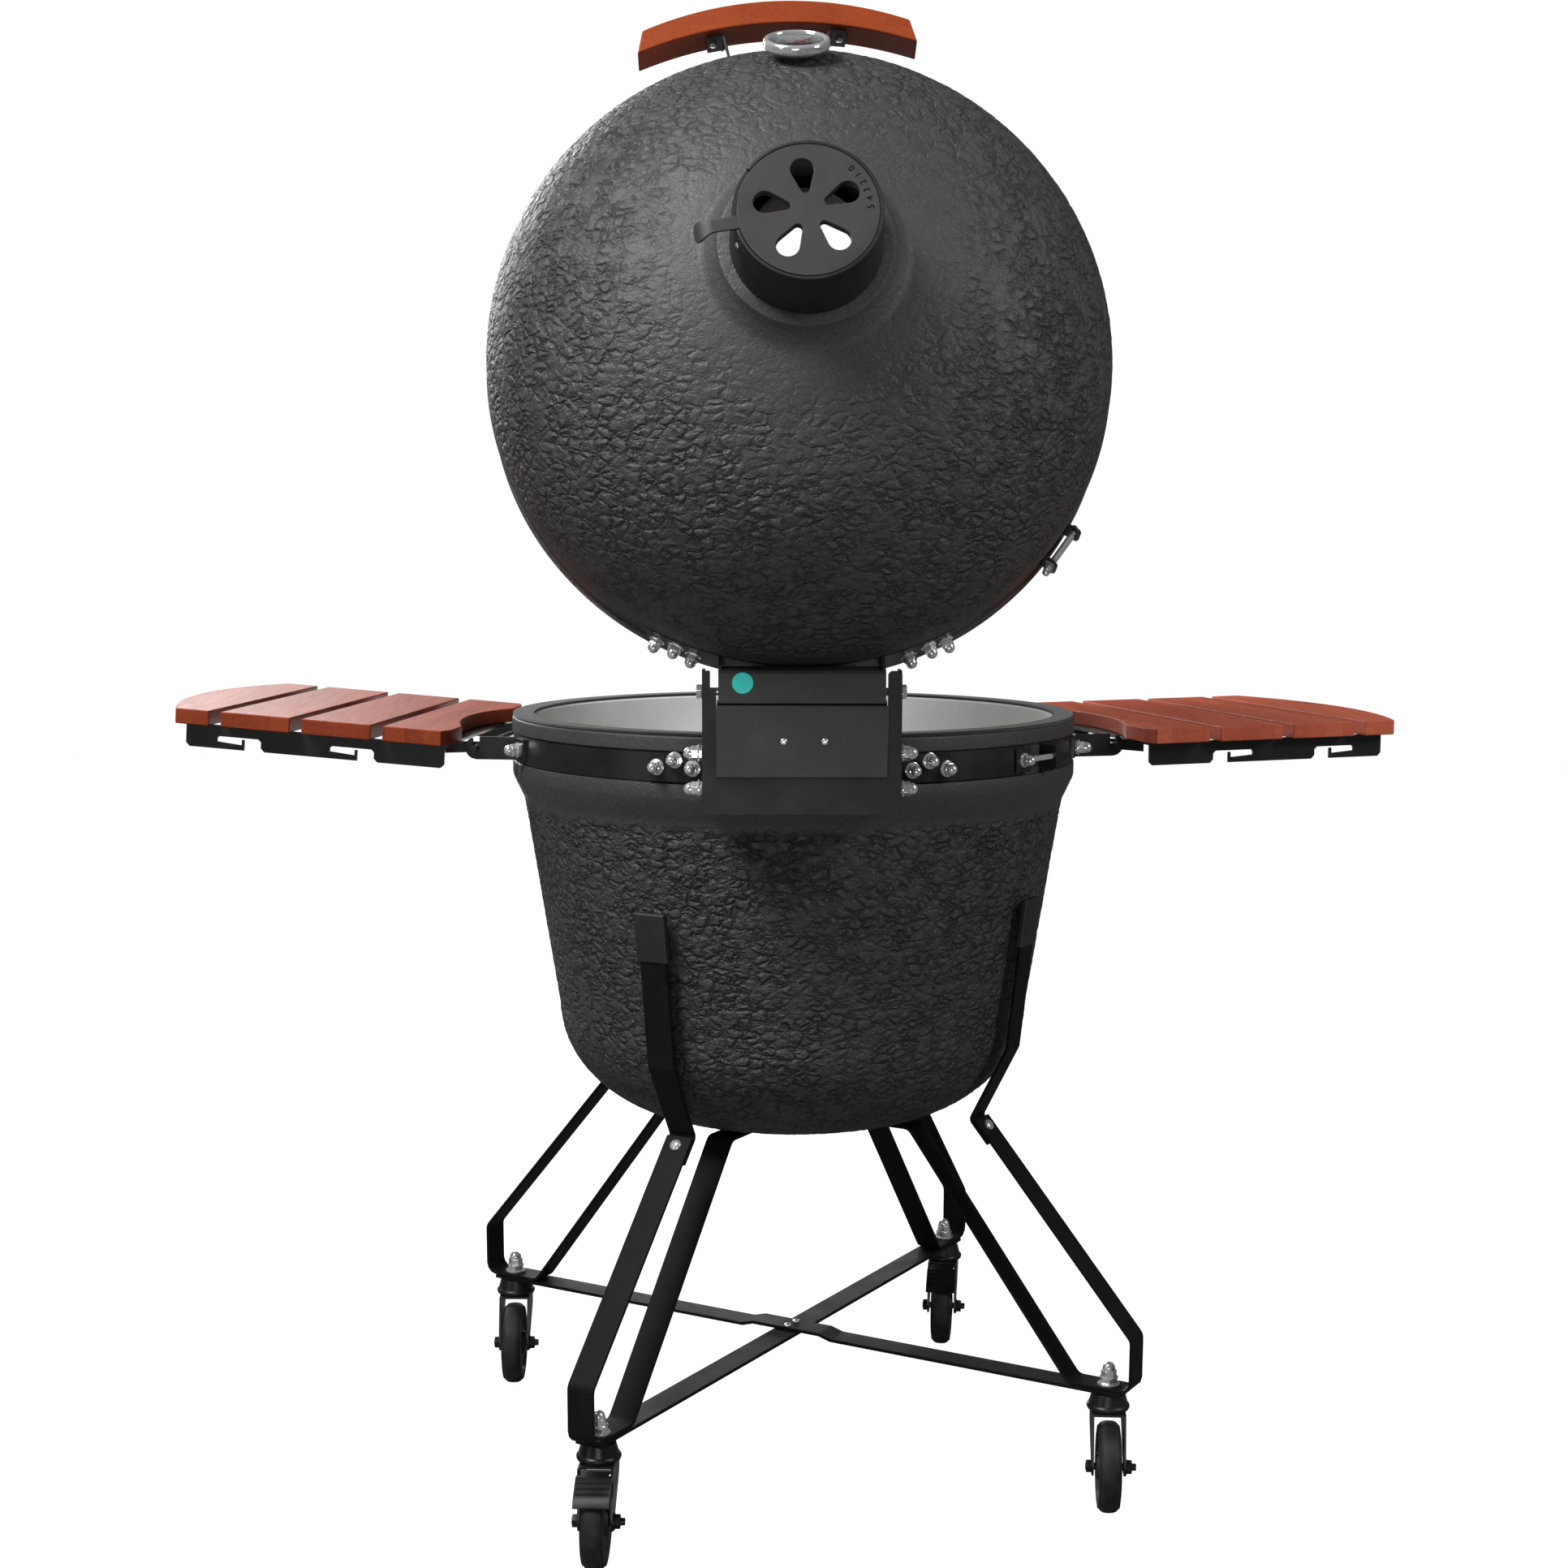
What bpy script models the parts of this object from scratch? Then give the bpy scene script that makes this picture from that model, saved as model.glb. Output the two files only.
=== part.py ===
"""Kamado ceramic grill on a wheeled cart, with its lid standing open.

Metres, +Z up. The origin is on the floor, under the middle of the bowl. +Y is the hinge side, -Y the front
with the handle, the thermometer and the draft door. Everything on the lid is modelled as it lies when the lid
is shut, and then turned with the lid's hinge axis.
"""

import math

import bmesh
import bpy
from mathutils import Matrix, Vector

# --- Fits -------------------------------------------------------------------------------------------------
GAP = 0.0003  # between pieces that touch
RUNNING = 0.0004  # round a pin or a rod that turns
STEPS = 40  # sides of a large round piece
SMALL_STEPS = 28  # sides of a smaller one

# --- Ceramic bowl -----------------------------------------------------------------------------------------
RIM_HEIGHT = 0.857
RIM_RADIUS = 0.317
WALL = 0.026
LIP_HEIGHT = 0.016
SEAT_DEPTH = 0.0045  # of the groove that a band lies in
SEAT_WIDTH = 0.0325
COLLAR_HEIGHT = 0.019
SHOULDER_RADIUS = 0.3045
SHOULDER_DROP = 0.0925  # from the rim
WAIST_RADIUS = 0.268
WAIST_HEIGHT = 0.5295
FOOT_RADIUS = 0.110
BOWL_BOTTOM = 0.399
GASKET_THICKNESS = 0.003

# --- Ceramic lid, shut ------------------------------------------------------------------------------------
LID_RIM_HEIGHT = RIM_HEIGHT + 2 * GASKET_THICKNESS + 3 * GAP
LID_RIM_RADIUS = RIM_RADIUS
LID_RADIUS = LID_RIM_RADIUS - 0.0002
LID_WIDEST = 0.0505  # above the lid's rim
DOME_HEIGHT = 0.248  # above its widest ring
DOME_POWER = 2.15
LID_OPEN = math.radians(68.2)
HINGE_Y = RIM_RADIUS + 0.026
HINGE_Z = RIM_HEIGHT + 0.049

# --- Vent -------------------------------------------------------------------------------------------------
CHIMNEY_HOLE = 0.056
NECK_RADIUS = 0.0835
NECK_HEIGHT = 0.0185
COLLAR_BASE_RADIUS = 0.0710
COLLAR_TOP_RADIUS = 0.0677
VENT_HEIGHT = 0.0602  # of the collar above the neck
COLLAR_WALL = 0.0032
DIAL_THICKNESS = 0.004
DIAL_HOLES = 5
DIAL_PHASE = math.radians(-10)
LEVER_ANGLE = math.radians(11)
LEVER_TRAVEL = math.radians(40)

# --- Bands and hinge --------------------------------------------------------------------------------------
BAND_WIDTH = 0.031
BAND_THICKNESS = 0.0025
CLAMP_GAP = math.radians(3.4)  # between the ends of a band, each side of the clamp's middle
BOWL_CLAMP = math.radians(142.5)
LID_CLAMP = math.radians(144.5)
SHEET = 0.003
PLATE_HALF = 0.0985
PLATE_Y = HINGE_Y + 0.024
PLATE_BOTTOM = RIM_HEIGHT - 0.071
PLATE_TOP = RIM_HEIGHT + 0.071
STRIP_WIDTH = 0.014
WINDOW_BOTTOM = RIM_HEIGHT + 0.0015
WING_ANGLE = math.radians(29)
PIN_RADIUS = 0.004

# --- Handle and thermometer -------------------------------------------------------------------------------
HANDLE_RADIUS = LID_RADIUS + 0.0708  # inner face
HANDLE_DEPTH = 0.0265
HANDLE_HEIGHT = 0.036
HANDLE_TOP = LID_RIM_HEIGHT + 0.0536
HANDLE_HALF_ANGLE = math.radians(22.3)
HANDLE_TURN = math.radians(3.3)
HANDLE_BRACKET_ANGLE = math.radians(8.3)
THERMOMETER_SWEEP = math.radians(39.7)  # along the dome from its widest ring
THERMOMETER_RADIUS = 0.0328
THERMOMETER_TURN = math.radians(1.2)
STEM_RADIUS = 0.0045

# --- Firebox, grates and draft door -----------------------------------------------------------------------
FIREBOX_TOP = 0.660
FIREBOX_RADIUS = 0.250
RING_TOP = 0.790
LEDGE_HEIGHT = 0.556
GRATE_RADIUS = 0.250
COAL_GRATE_RADIUS = 0.203
DRAFT_HALF_WIDTH = 0.050
DRAFT_LOW = 0.478
DRAFT_HIGH = 0.536

# --- Shelves ----------------------------------------------------------------------------------------------
SHELF_HEIGHT = RIM_HEIGHT - 0.0095  # top of the planks where they would meet the rim
SHELF_REACH = RIM_RADIUS + 0.013  # radius that the shelf's own measures start from
PLANK_THICKNESS = 0.0165
PLANK_WIDTH = 0.0765
PLANK_GAP = 0.013
PLANK_HALF_LENGTH = 0.196
SHELF_START = 0.024
SHELF_END = 0.360
SHELF_END_RADIUS = 0.545
BOWL_CLEARANCE = 0.059  # between the rim and the inner plank's hollow
RAIL_OFFSET = 0.175
RAIL_DEPTH = 0.0255
ARM_OFFSET = 0.130
ARM_HEIGHT = 0.025
ARM_THICKNESS = 0.004
ROD_RADIUS = 0.0035
ROD_REACH = 0.006
ROD_DROP = 0.0220
SHELVES = {
    # name: side along X, turn of its middle line toward the front, tilt up toward its outer end
    "left": (1, math.radians(7.5), math.radians(4.2)),
    "right": (-1, math.radians(15), math.radians(0.8)),
}

# --- Cart -------------------------------------------------------------------------------------------------
BAR_WIDTH = 0.032
BAR_THICKNESS = 0.004
CART_TURN = math.radians(13.77)
FOOT_HEIGHT = 0.1348  # top face of the bar that a caster hangs from
KNEE = Vector((0.435, 0.193))  # radius and height where the outer bar turns down
FOOT_INNER = 0.3615
LEG_TOP = Vector((0.243, 0.4165))
SEAT_START = 0.160
SEAT_END = 0.045
STRAP_TOP = Vector((0.2990, RIM_HEIGHT - 0.189))
STRAP_BEND = Vector((0.2795, 0.500))
TAB_LENGTH = 0.030
BEND_RADIUS = 0.012
RING_INNER = 0.055
RING_OUTER = 0.085

# --- Casters ----------------------------------------------------------------------------------------------
WHEEL_RADIUS = 0.050
WHEEL_WIDTH = 0.028
CASTER_RADIUS = 0.4035  # of the swivel axes, from the grill's axis
CASTER_TRAIL = 0.029
FORK_TOP = 0.1045  # underside of the fork's bridge
FORK_SIDE = 0.0025
AXLE_RADIUS = 0.004
LEGS = {
    # name: direction of the leg from +X, direction that its caster trails in, measured from +Y toward +X
    "near_left": (math.radians(45) + CART_TURN, math.radians(4)),
    "near_right": (math.radians(135) + CART_TURN, math.radians(5)),
    "far_left": (math.radians(-45) + CART_TURN, math.radians(1)),
    "far_right": (math.radians(-135) + CART_TURN, math.radians(8)),
}
BRAKED = ("near_left", "far_right")
BRAKE_PIVOT = (0.0290, 0.1038)  # behind the fork's swivel axis, and above the floor


# --- Building blocks --------------------------------------------------------------------------------------
def clear_scene():
    for obj in list(bpy.data.objects):
        bpy.data.objects.remove(obj, do_unlink=True)


def make_material(name, colour, roughness, metallic=0.0):
    material = bpy.data.materials.new(name)
    material.use_nodes = True
    shader = material.node_tree.nodes["Principled BSDF"]
    shader.inputs["Base Color"].default_value = (*colour, 1.0)
    shader.inputs["Roughness"].default_value = roughness
    shader.inputs["Metallic"].default_value = metallic
    return material


def make_axis(name, place, rotation=(0.0, 0.0, 0.0), parent=None):
    """An empty on a joint's axis or at the root of a group."""
    axis = bpy.data.objects.new(name, None)
    axis.location = place
    axis.rotation_euler = rotation
    axis.parent = parent
    bpy.context.scene.collection.objects.link(axis)
    return axis


def make_object(name, mesh_builder, finish, parent=None, matrix=None, sharp=35):
    """Turns a bmesh into a named piece with outward faces and smooth round sides."""
    if matrix is not None:
        bmesh.ops.transform(mesh_builder, matrix=matrix, verts=mesh_builder.verts)
    bmesh.ops.remove_doubles(mesh_builder, verts=mesh_builder.verts, dist=1e-6)
    bmesh.ops.recalc_face_normals(mesh_builder, faces=mesh_builder.faces)
    mesh = bpy.data.meshes.new(name)
    mesh_builder.to_mesh(mesh)
    mesh_builder.free()
    mesh.shade_smooth()
    mesh.set_sharp_from_angle(angle=math.radians(sharp))
    obj = bpy.data.objects.new(name, mesh)
    if finish:
        mesh.materials.append(finish)
    obj.parent = parent
    bpy.context.scene.collection.objects.link(obj)
    return obj


def combine(base, other, operation):
    """Joins a helper to a piece, or cuts the piece with it. The helper is hidden."""
    other.hide_render = True
    other.display_type = "WIRE"
    change = base.modifiers.new(other.name, "BOOLEAN")
    change.operation = operation
    change.object = other
    change.solver = "EXACT"


def join(base, *helpers):
    for helper in helpers:
        combine(base, helper, "UNION")


def cut(base, *helpers):
    for helper in helpers:
        combine(base, helper, "DIFFERENCE")


def box(low, high):
    builder = bmesh.new()
    bmesh.ops.create_cube(builder, size=1.0)
    low, high = Vector(low), Vector(high)
    place = Matrix.Translation((low + high) / 2) @ Matrix.Diagonal((*(high - low), 1.0))
    bmesh.ops.transform(builder, matrix=place, verts=builder.verts)
    return builder


def rod(start, end, radius, sides=12):
    """A round bar between two points."""
    start, end = Vector(start), Vector(end)
    builder = bmesh.new()
    bmesh.ops.create_cone(
        builder,
        cap_ends=True,
        segments=sides,
        radius1=radius,
        radius2=radius,
        depth=(end - start).length,
    )
    turn = Vector((0, 0, 1)).rotation_difference(end - start).to_matrix().to_4x4()
    bmesh.ops.transform(builder, matrix=Matrix.Translation((start + end) / 2) @ turn, verts=builder.verts)
    return builder


def slab(outline, low, high):
    """An outline in X and Y, raised from one height to another."""
    builder = bmesh.new()
    corners = [builder.verts.new((x, y, low)) for x, y in outline]
    floor = builder.faces.new(corners)
    raised = bmesh.ops.extrude_face_region(builder, geom=[floor])
    top = [item for item in raised["geom"] if isinstance(item, bmesh.types.BMVert)]
    bmesh.ops.translate(builder, verts=top, vec=(0, 0, high - low))
    return builder


def revolve(profile, steps=STEPS, start=0.0, sweep=2 * math.pi, closed=True):
    """Turns a list of (radius, height) about +Z. A part turn is closed with flat ends."""
    builder = bmesh.new()
    cosine, sine = math.cos(start), math.sin(start)
    points = [builder.verts.new((r * cosine, r * sine, z)) for r, z in profile]
    pairs = list(zip(points, points[1:]))
    whole = abs(sweep - 2 * math.pi) < 1e-6
    if closed:
        pairs.append((points[-1], points[0]))
    edges = [builder.edges.new(pair) for pair in pairs]
    faces = [] if whole else [builder.faces.new(points)]
    turned = bmesh.ops.spin(
        builder,
        geom=points + edges + faces,
        cent=(0, 0, 0),
        axis=(0, 0, 1),
        angle=sweep,
        steps=steps,
        use_merge=whole,
    )
    del turned
    bmesh.ops.remove_doubles(builder, verts=builder.verts, dist=1e-6)
    return builder


def arc(centre, radius, first, last, steps):
    """Points along a circle in a plane, ends included."""
    return [
        (
            centre[0] + radius * math.cos(first + (last - first) * i / steps),
            centre[1] + radius * math.sin(first + (last - first) * i / steps),
        )
        for i in range(steps + 1)
    ]


def rounded(path, radius, steps=3):
    """A path with each inner corner turned into an arc, as a bent bar has."""
    points = [Vector(path[0])]
    for before, corner, after in zip(path, path[1:], path[2:]):
        before, corner, after = Vector(before), Vector(corner), Vector(after)
        into, out = (before - corner).normalized(), (after - corner).normalized()
        half = into.angle(out) / 2
        reach = radius / math.tan(half)
        centre = corner + (into + out).normalized() * (radius / math.sin(half))
        first = corner + into * reach - centre
        turn = first.angle_signed(corner + out * reach - centre)
        for i in range(steps + 1):
            angle = -turn * i / steps
            cosine, sine = math.cos(angle), math.sin(angle)
            points.append(centre + Vector((first.x * cosine - first.y * sine, first.x * sine + first.y * cosine)))
    points.append(Vector(path[-1]))
    return points


def ribbon(path, thickness):
    """The outline of a flat bar that follows a path, with mitred corners."""
    sides = ([], [])
    for i, point in enumerate(path):
        before = path[max(i - 1, 0)]
        after = path[min(i + 1, len(path) - 1)]
        into = (point - before).normalized() if i else (after - point).normalized()
        out = (after - point).normalized() if i < len(path) - 1 else into
        along = (into + out).normalized()
        across = Vector((-along.y, along.x)) * (thickness / 2 / max(along.dot(into), 0.2))
        sides[0].append(point + across)
        sides[1].append(point - across)
    return [tuple(p) for p in sides[0] + sides[1][::-1]]


# A slab drawn in (radius, height) stands up along +X, with its thickness across it.
UPRIGHT = Matrix(((1, 0, 0, 0), (0, 0, 1, 0), (0, 1, 0, 0), (0, 0, 0, 1)))


def upright(outline, width, middle=0.0):
    builder = slab(outline, middle - width / 2, middle + width / 2)
    bmesh.ops.transform(builder, matrix=UPRIGHT, verts=builder.verts)
    return builder


# --- Profiles that several pieces share -------------------------------------------------------------------
def bowl_outline(inset=0.0, steps=5):
    """(radius, height) down the bowl's side from its waist to its foot, moved inward by inset."""
    depth = WAIST_HEIGHT - BOWL_BOTTOM - inset
    spread = WAIST_RADIUS - FOOT_RADIUS - inset * 0.6
    foot = FOOT_RADIUS - inset * 0.4
    return [
        (foot + spread * math.cos(t), WAIST_HEIGHT - depth * math.sin(t))
        for t in (math.pi / 2 * i / steps for i in range(steps + 1))
    ]


def bowl_radius(height, outside=0.0):
    """Outer radius of the bowl between its shoulder and its foot."""
    if height >= WAIST_HEIGHT:
        top = RIM_HEIGHT - SHOULDER_DROP
        share = (height - WAIST_HEIGHT) / (top - WAIST_HEIGHT)
        return WAIST_RADIUS + share * (SHOULDER_RADIUS - WAIST_RADIUS) + outside
    share = (WAIST_HEIGHT - height) / (WAIST_HEIGHT - BOWL_BOTTOM)
    return FOOT_RADIUS + (WAIST_RADIUS - FOOT_RADIUS) * math.sqrt(1 - share**2) + outside


def dome_point(sweep, inset=0.0):
    """(radius, height) on the dome, at an angle up from its widest ring."""
    radius = (LID_RADIUS - inset) * math.cos(sweep) ** (2 / DOME_POWER)
    rise = (DOME_HEIGHT - inset) * math.sin(sweep) ** (2 / DOME_POWER)
    return radius, LID_RIM_HEIGHT + LID_WIDEST + rise


def dome_sweep_at(radius, inset=0.0):
    return math.acos((radius / (LID_RADIUS - inset)) ** (DOME_POWER / 2))


def dome_outline(last_radius, inset=0.0, steps=8):
    last = dome_sweep_at(last_radius, inset)
    return [dome_point(last * i / steps, inset) for i in range(steps + 1)]


NECK_TOP = dome_point(dome_sweep_at(NECK_RADIUS))[1] + NECK_HEIGHT
VENT_TOP = NECK_TOP + GAP + VENT_HEIGHT


# --- Bowl -------------------------------------------------------------------------------------------------
def draft_cutter(name, reach):
    return make_object(name, box((-DRAFT_HALF_WIDTH, -reach, DRAFT_LOW), (DRAFT_HALF_WIDTH, -0.10, DRAFT_HIGH)), None)


def make_bowl(finishes):
    seat = RIM_RADIUS - SEAT_DEPTH
    seat_top = RIM_HEIGHT - LIP_HEIGHT
    seat_low = seat_top - SEAT_WIDTH
    outside = [
        (RIM_RADIUS - 0.002, RIM_HEIGHT),
        (RIM_RADIUS, RIM_HEIGHT - 0.002),
        (RIM_RADIUS, seat_top),
        (seat, seat_top),
        (seat, seat_low),
        (RIM_RADIUS - 0.0015, seat_low),
        (RIM_RADIUS, seat_low - 0.0015),
        (RIM_RADIUS, seat_low - COLLAR_HEIGHT + 0.003),
        (SHOULDER_RADIUS + 0.001, RIM_HEIGHT - SHOULDER_DROP + 0.003),
        (SHOULDER_RADIUS, RIM_HEIGHT - SHOULDER_DROP),
        *bowl_outline(),
        (0, BOWL_BOTTOM),
    ]
    inside = [
        (0, BOWL_BOTTOM + WALL),
        *reversed(bowl_outline(WALL, 3)),
        (RIM_RADIUS - WALL, RIM_HEIGHT),
    ]
    bowl = make_object("bowl_shell", revolve(outside + inside), finishes["glaze"])
    cut(bowl, draft_cutter("bowl_draft_cut", RIM_RADIUS))


def make_gasket(name, height, radius, finishes, parent=None):
    inner = radius - WALL + 0.002
    outer = radius - 0.001
    top = height + GASKET_THICKNESS
    profile = [(inner, height), (outer, height), (outer, top), (inner, top)]
    return make_object(name, revolve(profile), finishes["felt"], parent)


def make_firebox(finishes):
    floor = BOWL_BOTTOM + WALL + GAP
    profile = [
        (0, floor),
        (0.085, floor),
        (0.150, floor + 0.027),
        (0.205, 0.502),
        (0.232, 0.582),
        (FIREBOX_RADIUS, FIREBOX_TOP),
        (FIREBOX_RADIUS - 0.022, FIREBOX_TOP),
        (COAL_GRATE_RADIUS + 0.005, LEDGE_HEIGHT),
        (COAL_GRATE_RADIUS - 0.017, LEDGE_HEIGHT),
        (0.176, 0.500),
        (0.136, floor + 0.024),
        (0, floor + 0.024),
    ]
    firebox = make_object("firebox", revolve(profile, SMALL_STEPS), finishes["firebrick"])
    cut(firebox, draft_cutter("firebox_draft_cut", RIM_RADIUS))
    low = FIREBOX_TOP + GAP
    ring = [(0.226, low), (0.251, low), (0.262, RING_TOP), (0.238, RING_TOP)]
    make_object("fire_ring", revolve(ring, SMALL_STEPS), finishes["firebrick"])


def make_grates(finishes):
    low = LEDGE_HEIGHT + GAP
    disc = [(0, low), (COAL_GRATE_RADIUS, low), (COAL_GRATE_RADIUS, low + 0.008), (0, low + 0.008)]
    coal = make_object("charcoal_grate", revolve(disc, 24), finishes["iron"])
    slot_pitch = 0.042
    for i in range(-4, 5):
        x = i * slot_pitch
        half = math.sqrt((COAL_GRATE_RADIUS - 0.018) ** 2 - x**2)
        for side, (y0, y1) in enumerate(((-half, -0.008), (0.008, half))):
            slot = make_object(f"coal_slot_{i}_{side}", box((x - 0.009, y0, low - 0.01), (x + 0.007, y1, low + 0.02)), None)
            cut(coal, slot)

    base = RING_TOP + GAP
    rim = [
        (GRATE_RADIUS - 0.008, base),
        (GRATE_RADIUS, base),
        (GRATE_RADIUS, base + 0.008),
        (GRATE_RADIUS - 0.008, base + 0.008),
    ]
    grate = make_object("cooking_grate", revolve(rim, SMALL_STEPS), finishes["steel"])
    bar_pitch = 0.0405
    for i in range(-5, 6):
        x = i * bar_pitch
        half = math.sqrt((GRATE_RADIUS - 0.004) ** 2 - x**2)
        bar = make_object(f"grate_bar_{i}", box((x - 0.0025, -half, base + 0.0015), (x + 0.0025, half, base + 0.0065)), None)
        join(grate, bar)
    brace = make_object("grate_brace", box((-0.243, -0.003, base + 0.0005), (0.243, 0.003, base + 0.0045)), None)
    join(grate, brace)


def slanted(height_low, height_high, outside, layers):
    """A closed (radius, height) outline beside the bowl's side: layers are (share along it, distance out)."""
    low = Vector((bowl_radius(height_low, outside), height_low))
    high = Vector((bowl_radius(height_high, outside), height_high))
    along = high - low
    out = Vector((along.y, -along.x)).normalized()
    return [tuple(low + along * share + out * distance) for share, distance in layers]


def make_draft_door(finishes):
    """A sliding door that runs round the bowl in the two rails of its frame."""
    low, high = DRAFT_LOW - 0.014, DRAFT_HIGH + 0.014
    back, rail, lip = 0.002, 0.0062, 0.07
    channel = [
        (0, 0),
        (1, 0),
        (1, rail + 0.0015),
        (1 - lip, rail + 0.0015),
        (1 - lip, rail),
        (1 - lip * 0.35, rail),
        (1 - lip * 0.35, back),
        (lip * 0.35, back),
        (lip * 0.35, rail),
        (lip, rail),
        (lip, rail + 0.0015),
        (0, rail + 0.0015),
    ]
    front = -math.pi / 2
    # It reaches further to the side that the door opens to.
    frame_start, frame_sweep = front - math.radians(14.5), math.radians(53)
    # The bowl is barrel shaped here, so the frame stands off it by the bulge between its two edges.
    bulge = 0.0090
    outline = slanted(low, high, bulge, channel)
    frame = make_object(
        "draft_frame", revolve(outline, 14, frame_start, frame_sweep), finishes["steel"]
    )
    cut(frame, draft_cutter("frame_draft_cut", RIM_RADIUS))
    clear = lip * 0.35 + 0.012
    panel = slanted(low, high, bulge, [(clear, back + 0.0005), (1 - clear, back + 0.0005), (1 - clear, rail - 0.0005), (clear, rail - 0.0005)])
    axis = make_axis("draft_door_axis", (0, 0, 0))
    covered = math.radians(13)
    door = make_object("draft_door", revolve(panel, 8, front - covered, 2 * covered), finishes["steel"], axis)
    # The knob stands square to the panel, so that it clears the frame behind it all the way along.
    foot = Vector((bowl_radius(low, bulge), low))
    head = Vector((bowl_radius(high, bulge), high))
    out = Vector(((head - foot).y, -(head - foot).x)).normalized()
    start, end = (foot + head) / 2 + out * (back + 0.0013), (foot + head) / 2 + out * (rail + 0.020)
    knob = make_object("draft_knob", rod((0, -start.x, start.y), (0, -end.x, end.y), 0.007), None, axis)
    join(door, knob)


# --- Bands ------------------------------------------------------------------------------------------------
def band_plate(radius, low, high, thickness, start, sweep, steps):
    profile = [(radius, low), (radius + thickness, low), (radius + thickness, high), (radius, high)]
    return revolve(profile, steps, start, sweep)


def lug(angle, radius, low, high):
    """One bent end of a band, which the clamp's bolt goes through."""
    builder = box((radius, -SHEET / 2, low), (radius + 0.020, SHEET / 2, high))
    bmesh.ops.transform(builder, matrix=Matrix.Rotation(angle, 4, "Z"), verts=builder.verts)
    return builder


def make_band(name, seat_low, seat_radius, clamp, finishes, parent=None):
    low = seat_low + (SEAT_WIDTH - BAND_WIDTH) / 2
    high = low + BAND_WIDTH
    radius = seat_radius + GAP
    outer = radius + BAND_THICKNESS
    profile = [(radius, low), (outer, low), (outer, high), (radius, high)]
    band = make_object(name, revolve(profile), finishes["black"], parent)
    half_gap = radius * math.sin(CLAMP_GAP)
    opening = box((radius - 0.02, -half_gap, low - 0.01), (outer + 0.02, half_gap, high + 0.01))
    cut(band, make_object(f"{name}_gap", opening, None, parent, Matrix.Rotation(clamp, 4, "Z")))
    end = CLAMP_GAP + math.asin((SHEET / 2 + 0.0002) / radius)
    for side, turn in (("a", end), ("b", -end)):
        join(band, make_object(f"{name}_lug_{side}", lug(clamp + turn, radius + 0.0005, low + 0.002, high - 0.002), None, parent))
    return low, high, radius + BAND_THICKNESS


# --- Hinge ------------------------------------------------------------------------------------------------
def make_base_bracket(band, finishes):
    """The bracket bolted to the bowl's band: a back plate with a window, two flanges and two wings."""
    low, high, radius = band
    inner = PLATE_HALF - STRIP_WIDTH
    web = [
        (-PLATE_HALF, PLATE_BOTTOM),
        (PLATE_HALF, PLATE_BOTTOM),
        (PLATE_HALF, PLATE_TOP),
        (PLATE_HALF - 0.008, PLATE_TOP),
        (PLATE_HALF - 0.008, PLATE_TOP - 0.017),
        (inner, PLATE_TOP - 0.017),
        (inner, WINDOW_BOTTOM),
        (-inner, WINDOW_BOTTOM),
        (-inner, PLATE_TOP - 0.003),
        (-inner - 0.003, PLATE_TOP),
        (-PLATE_HALF + 0.004, PLATE_TOP),
        (-PLATE_HALF, PLATE_TOP - 0.004),
    ]
    back = slab(web, -PLATE_Y, -PLATE_Y + SHEET)
    # The web's outline is drawn in X and Z, so the slab is stood up facing +Y.
    bmesh.ops.transform(back, matrix=Matrix.Rotation(math.radians(90), 4, "X"), verts=back.verts)
    bracket = make_object("hinge_base_bracket", back, finishes["black"])
    front_low = math.sqrt((RIM_RADIUS + 0.0004) ** 2 - (PLATE_HALF - SHEET) ** 2)
    flange = [
        (front_low, PLATE_BOTTOM),
        (PLATE_Y - 0.001, PLATE_BOTTOM),
        (PLATE_Y - 0.001, PLATE_TOP - 0.005),
        (PLATE_Y - 0.006, PLATE_TOP),
        (HINGE_Y - 0.010, PLATE_TOP),
        (HINGE_Y - 0.020, HINGE_Z),
        (HINGE_Y - 0.024, high + 0.020),
        (front_low, high),
    ]
    turn = Matrix.Rotation(math.radians(90), 4, "Z")
    for side in (1, -1):
        cheek = upright(flange, SHEET, -side * (PLATE_HALF - SHEET / 2))
        join(bracket, make_object(f"base_flange_{side}", cheek, None, None, turn))
        start = math.asin((PLATE_HALF - SHEET) / (radius + GAP))
        first = math.pi / 2 - side * start
        wing = band_plate(radius + GAP, low + 0.001, high - 0.001, SHEET, first, -side * (WING_ANGLE - start), 4)
        join(bracket, make_object(f"base_wing_{side}", wing, None))
    hole = rod((-PLATE_HALF - 0.01, HINGE_Y, HINGE_Z), (PLATE_HALF + 0.01, HINGE_Y, HINGE_Z), PIN_RADIUS + GAP, 16)
    cut(bracket, make_object("base_pin_hole", hole, None))


def shut(y, z):
    """Where a point of the open lid lies when the lid is shut."""
    cosine, sine = math.cos(LID_OPEN), math.sin(LID_OPEN)
    across, up = y - HINGE_Y, z - HINGE_Z
    return Vector((HINGE_Y + across * cosine - up * sine, HINGE_Z + across * sine + up * cosine))


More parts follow.
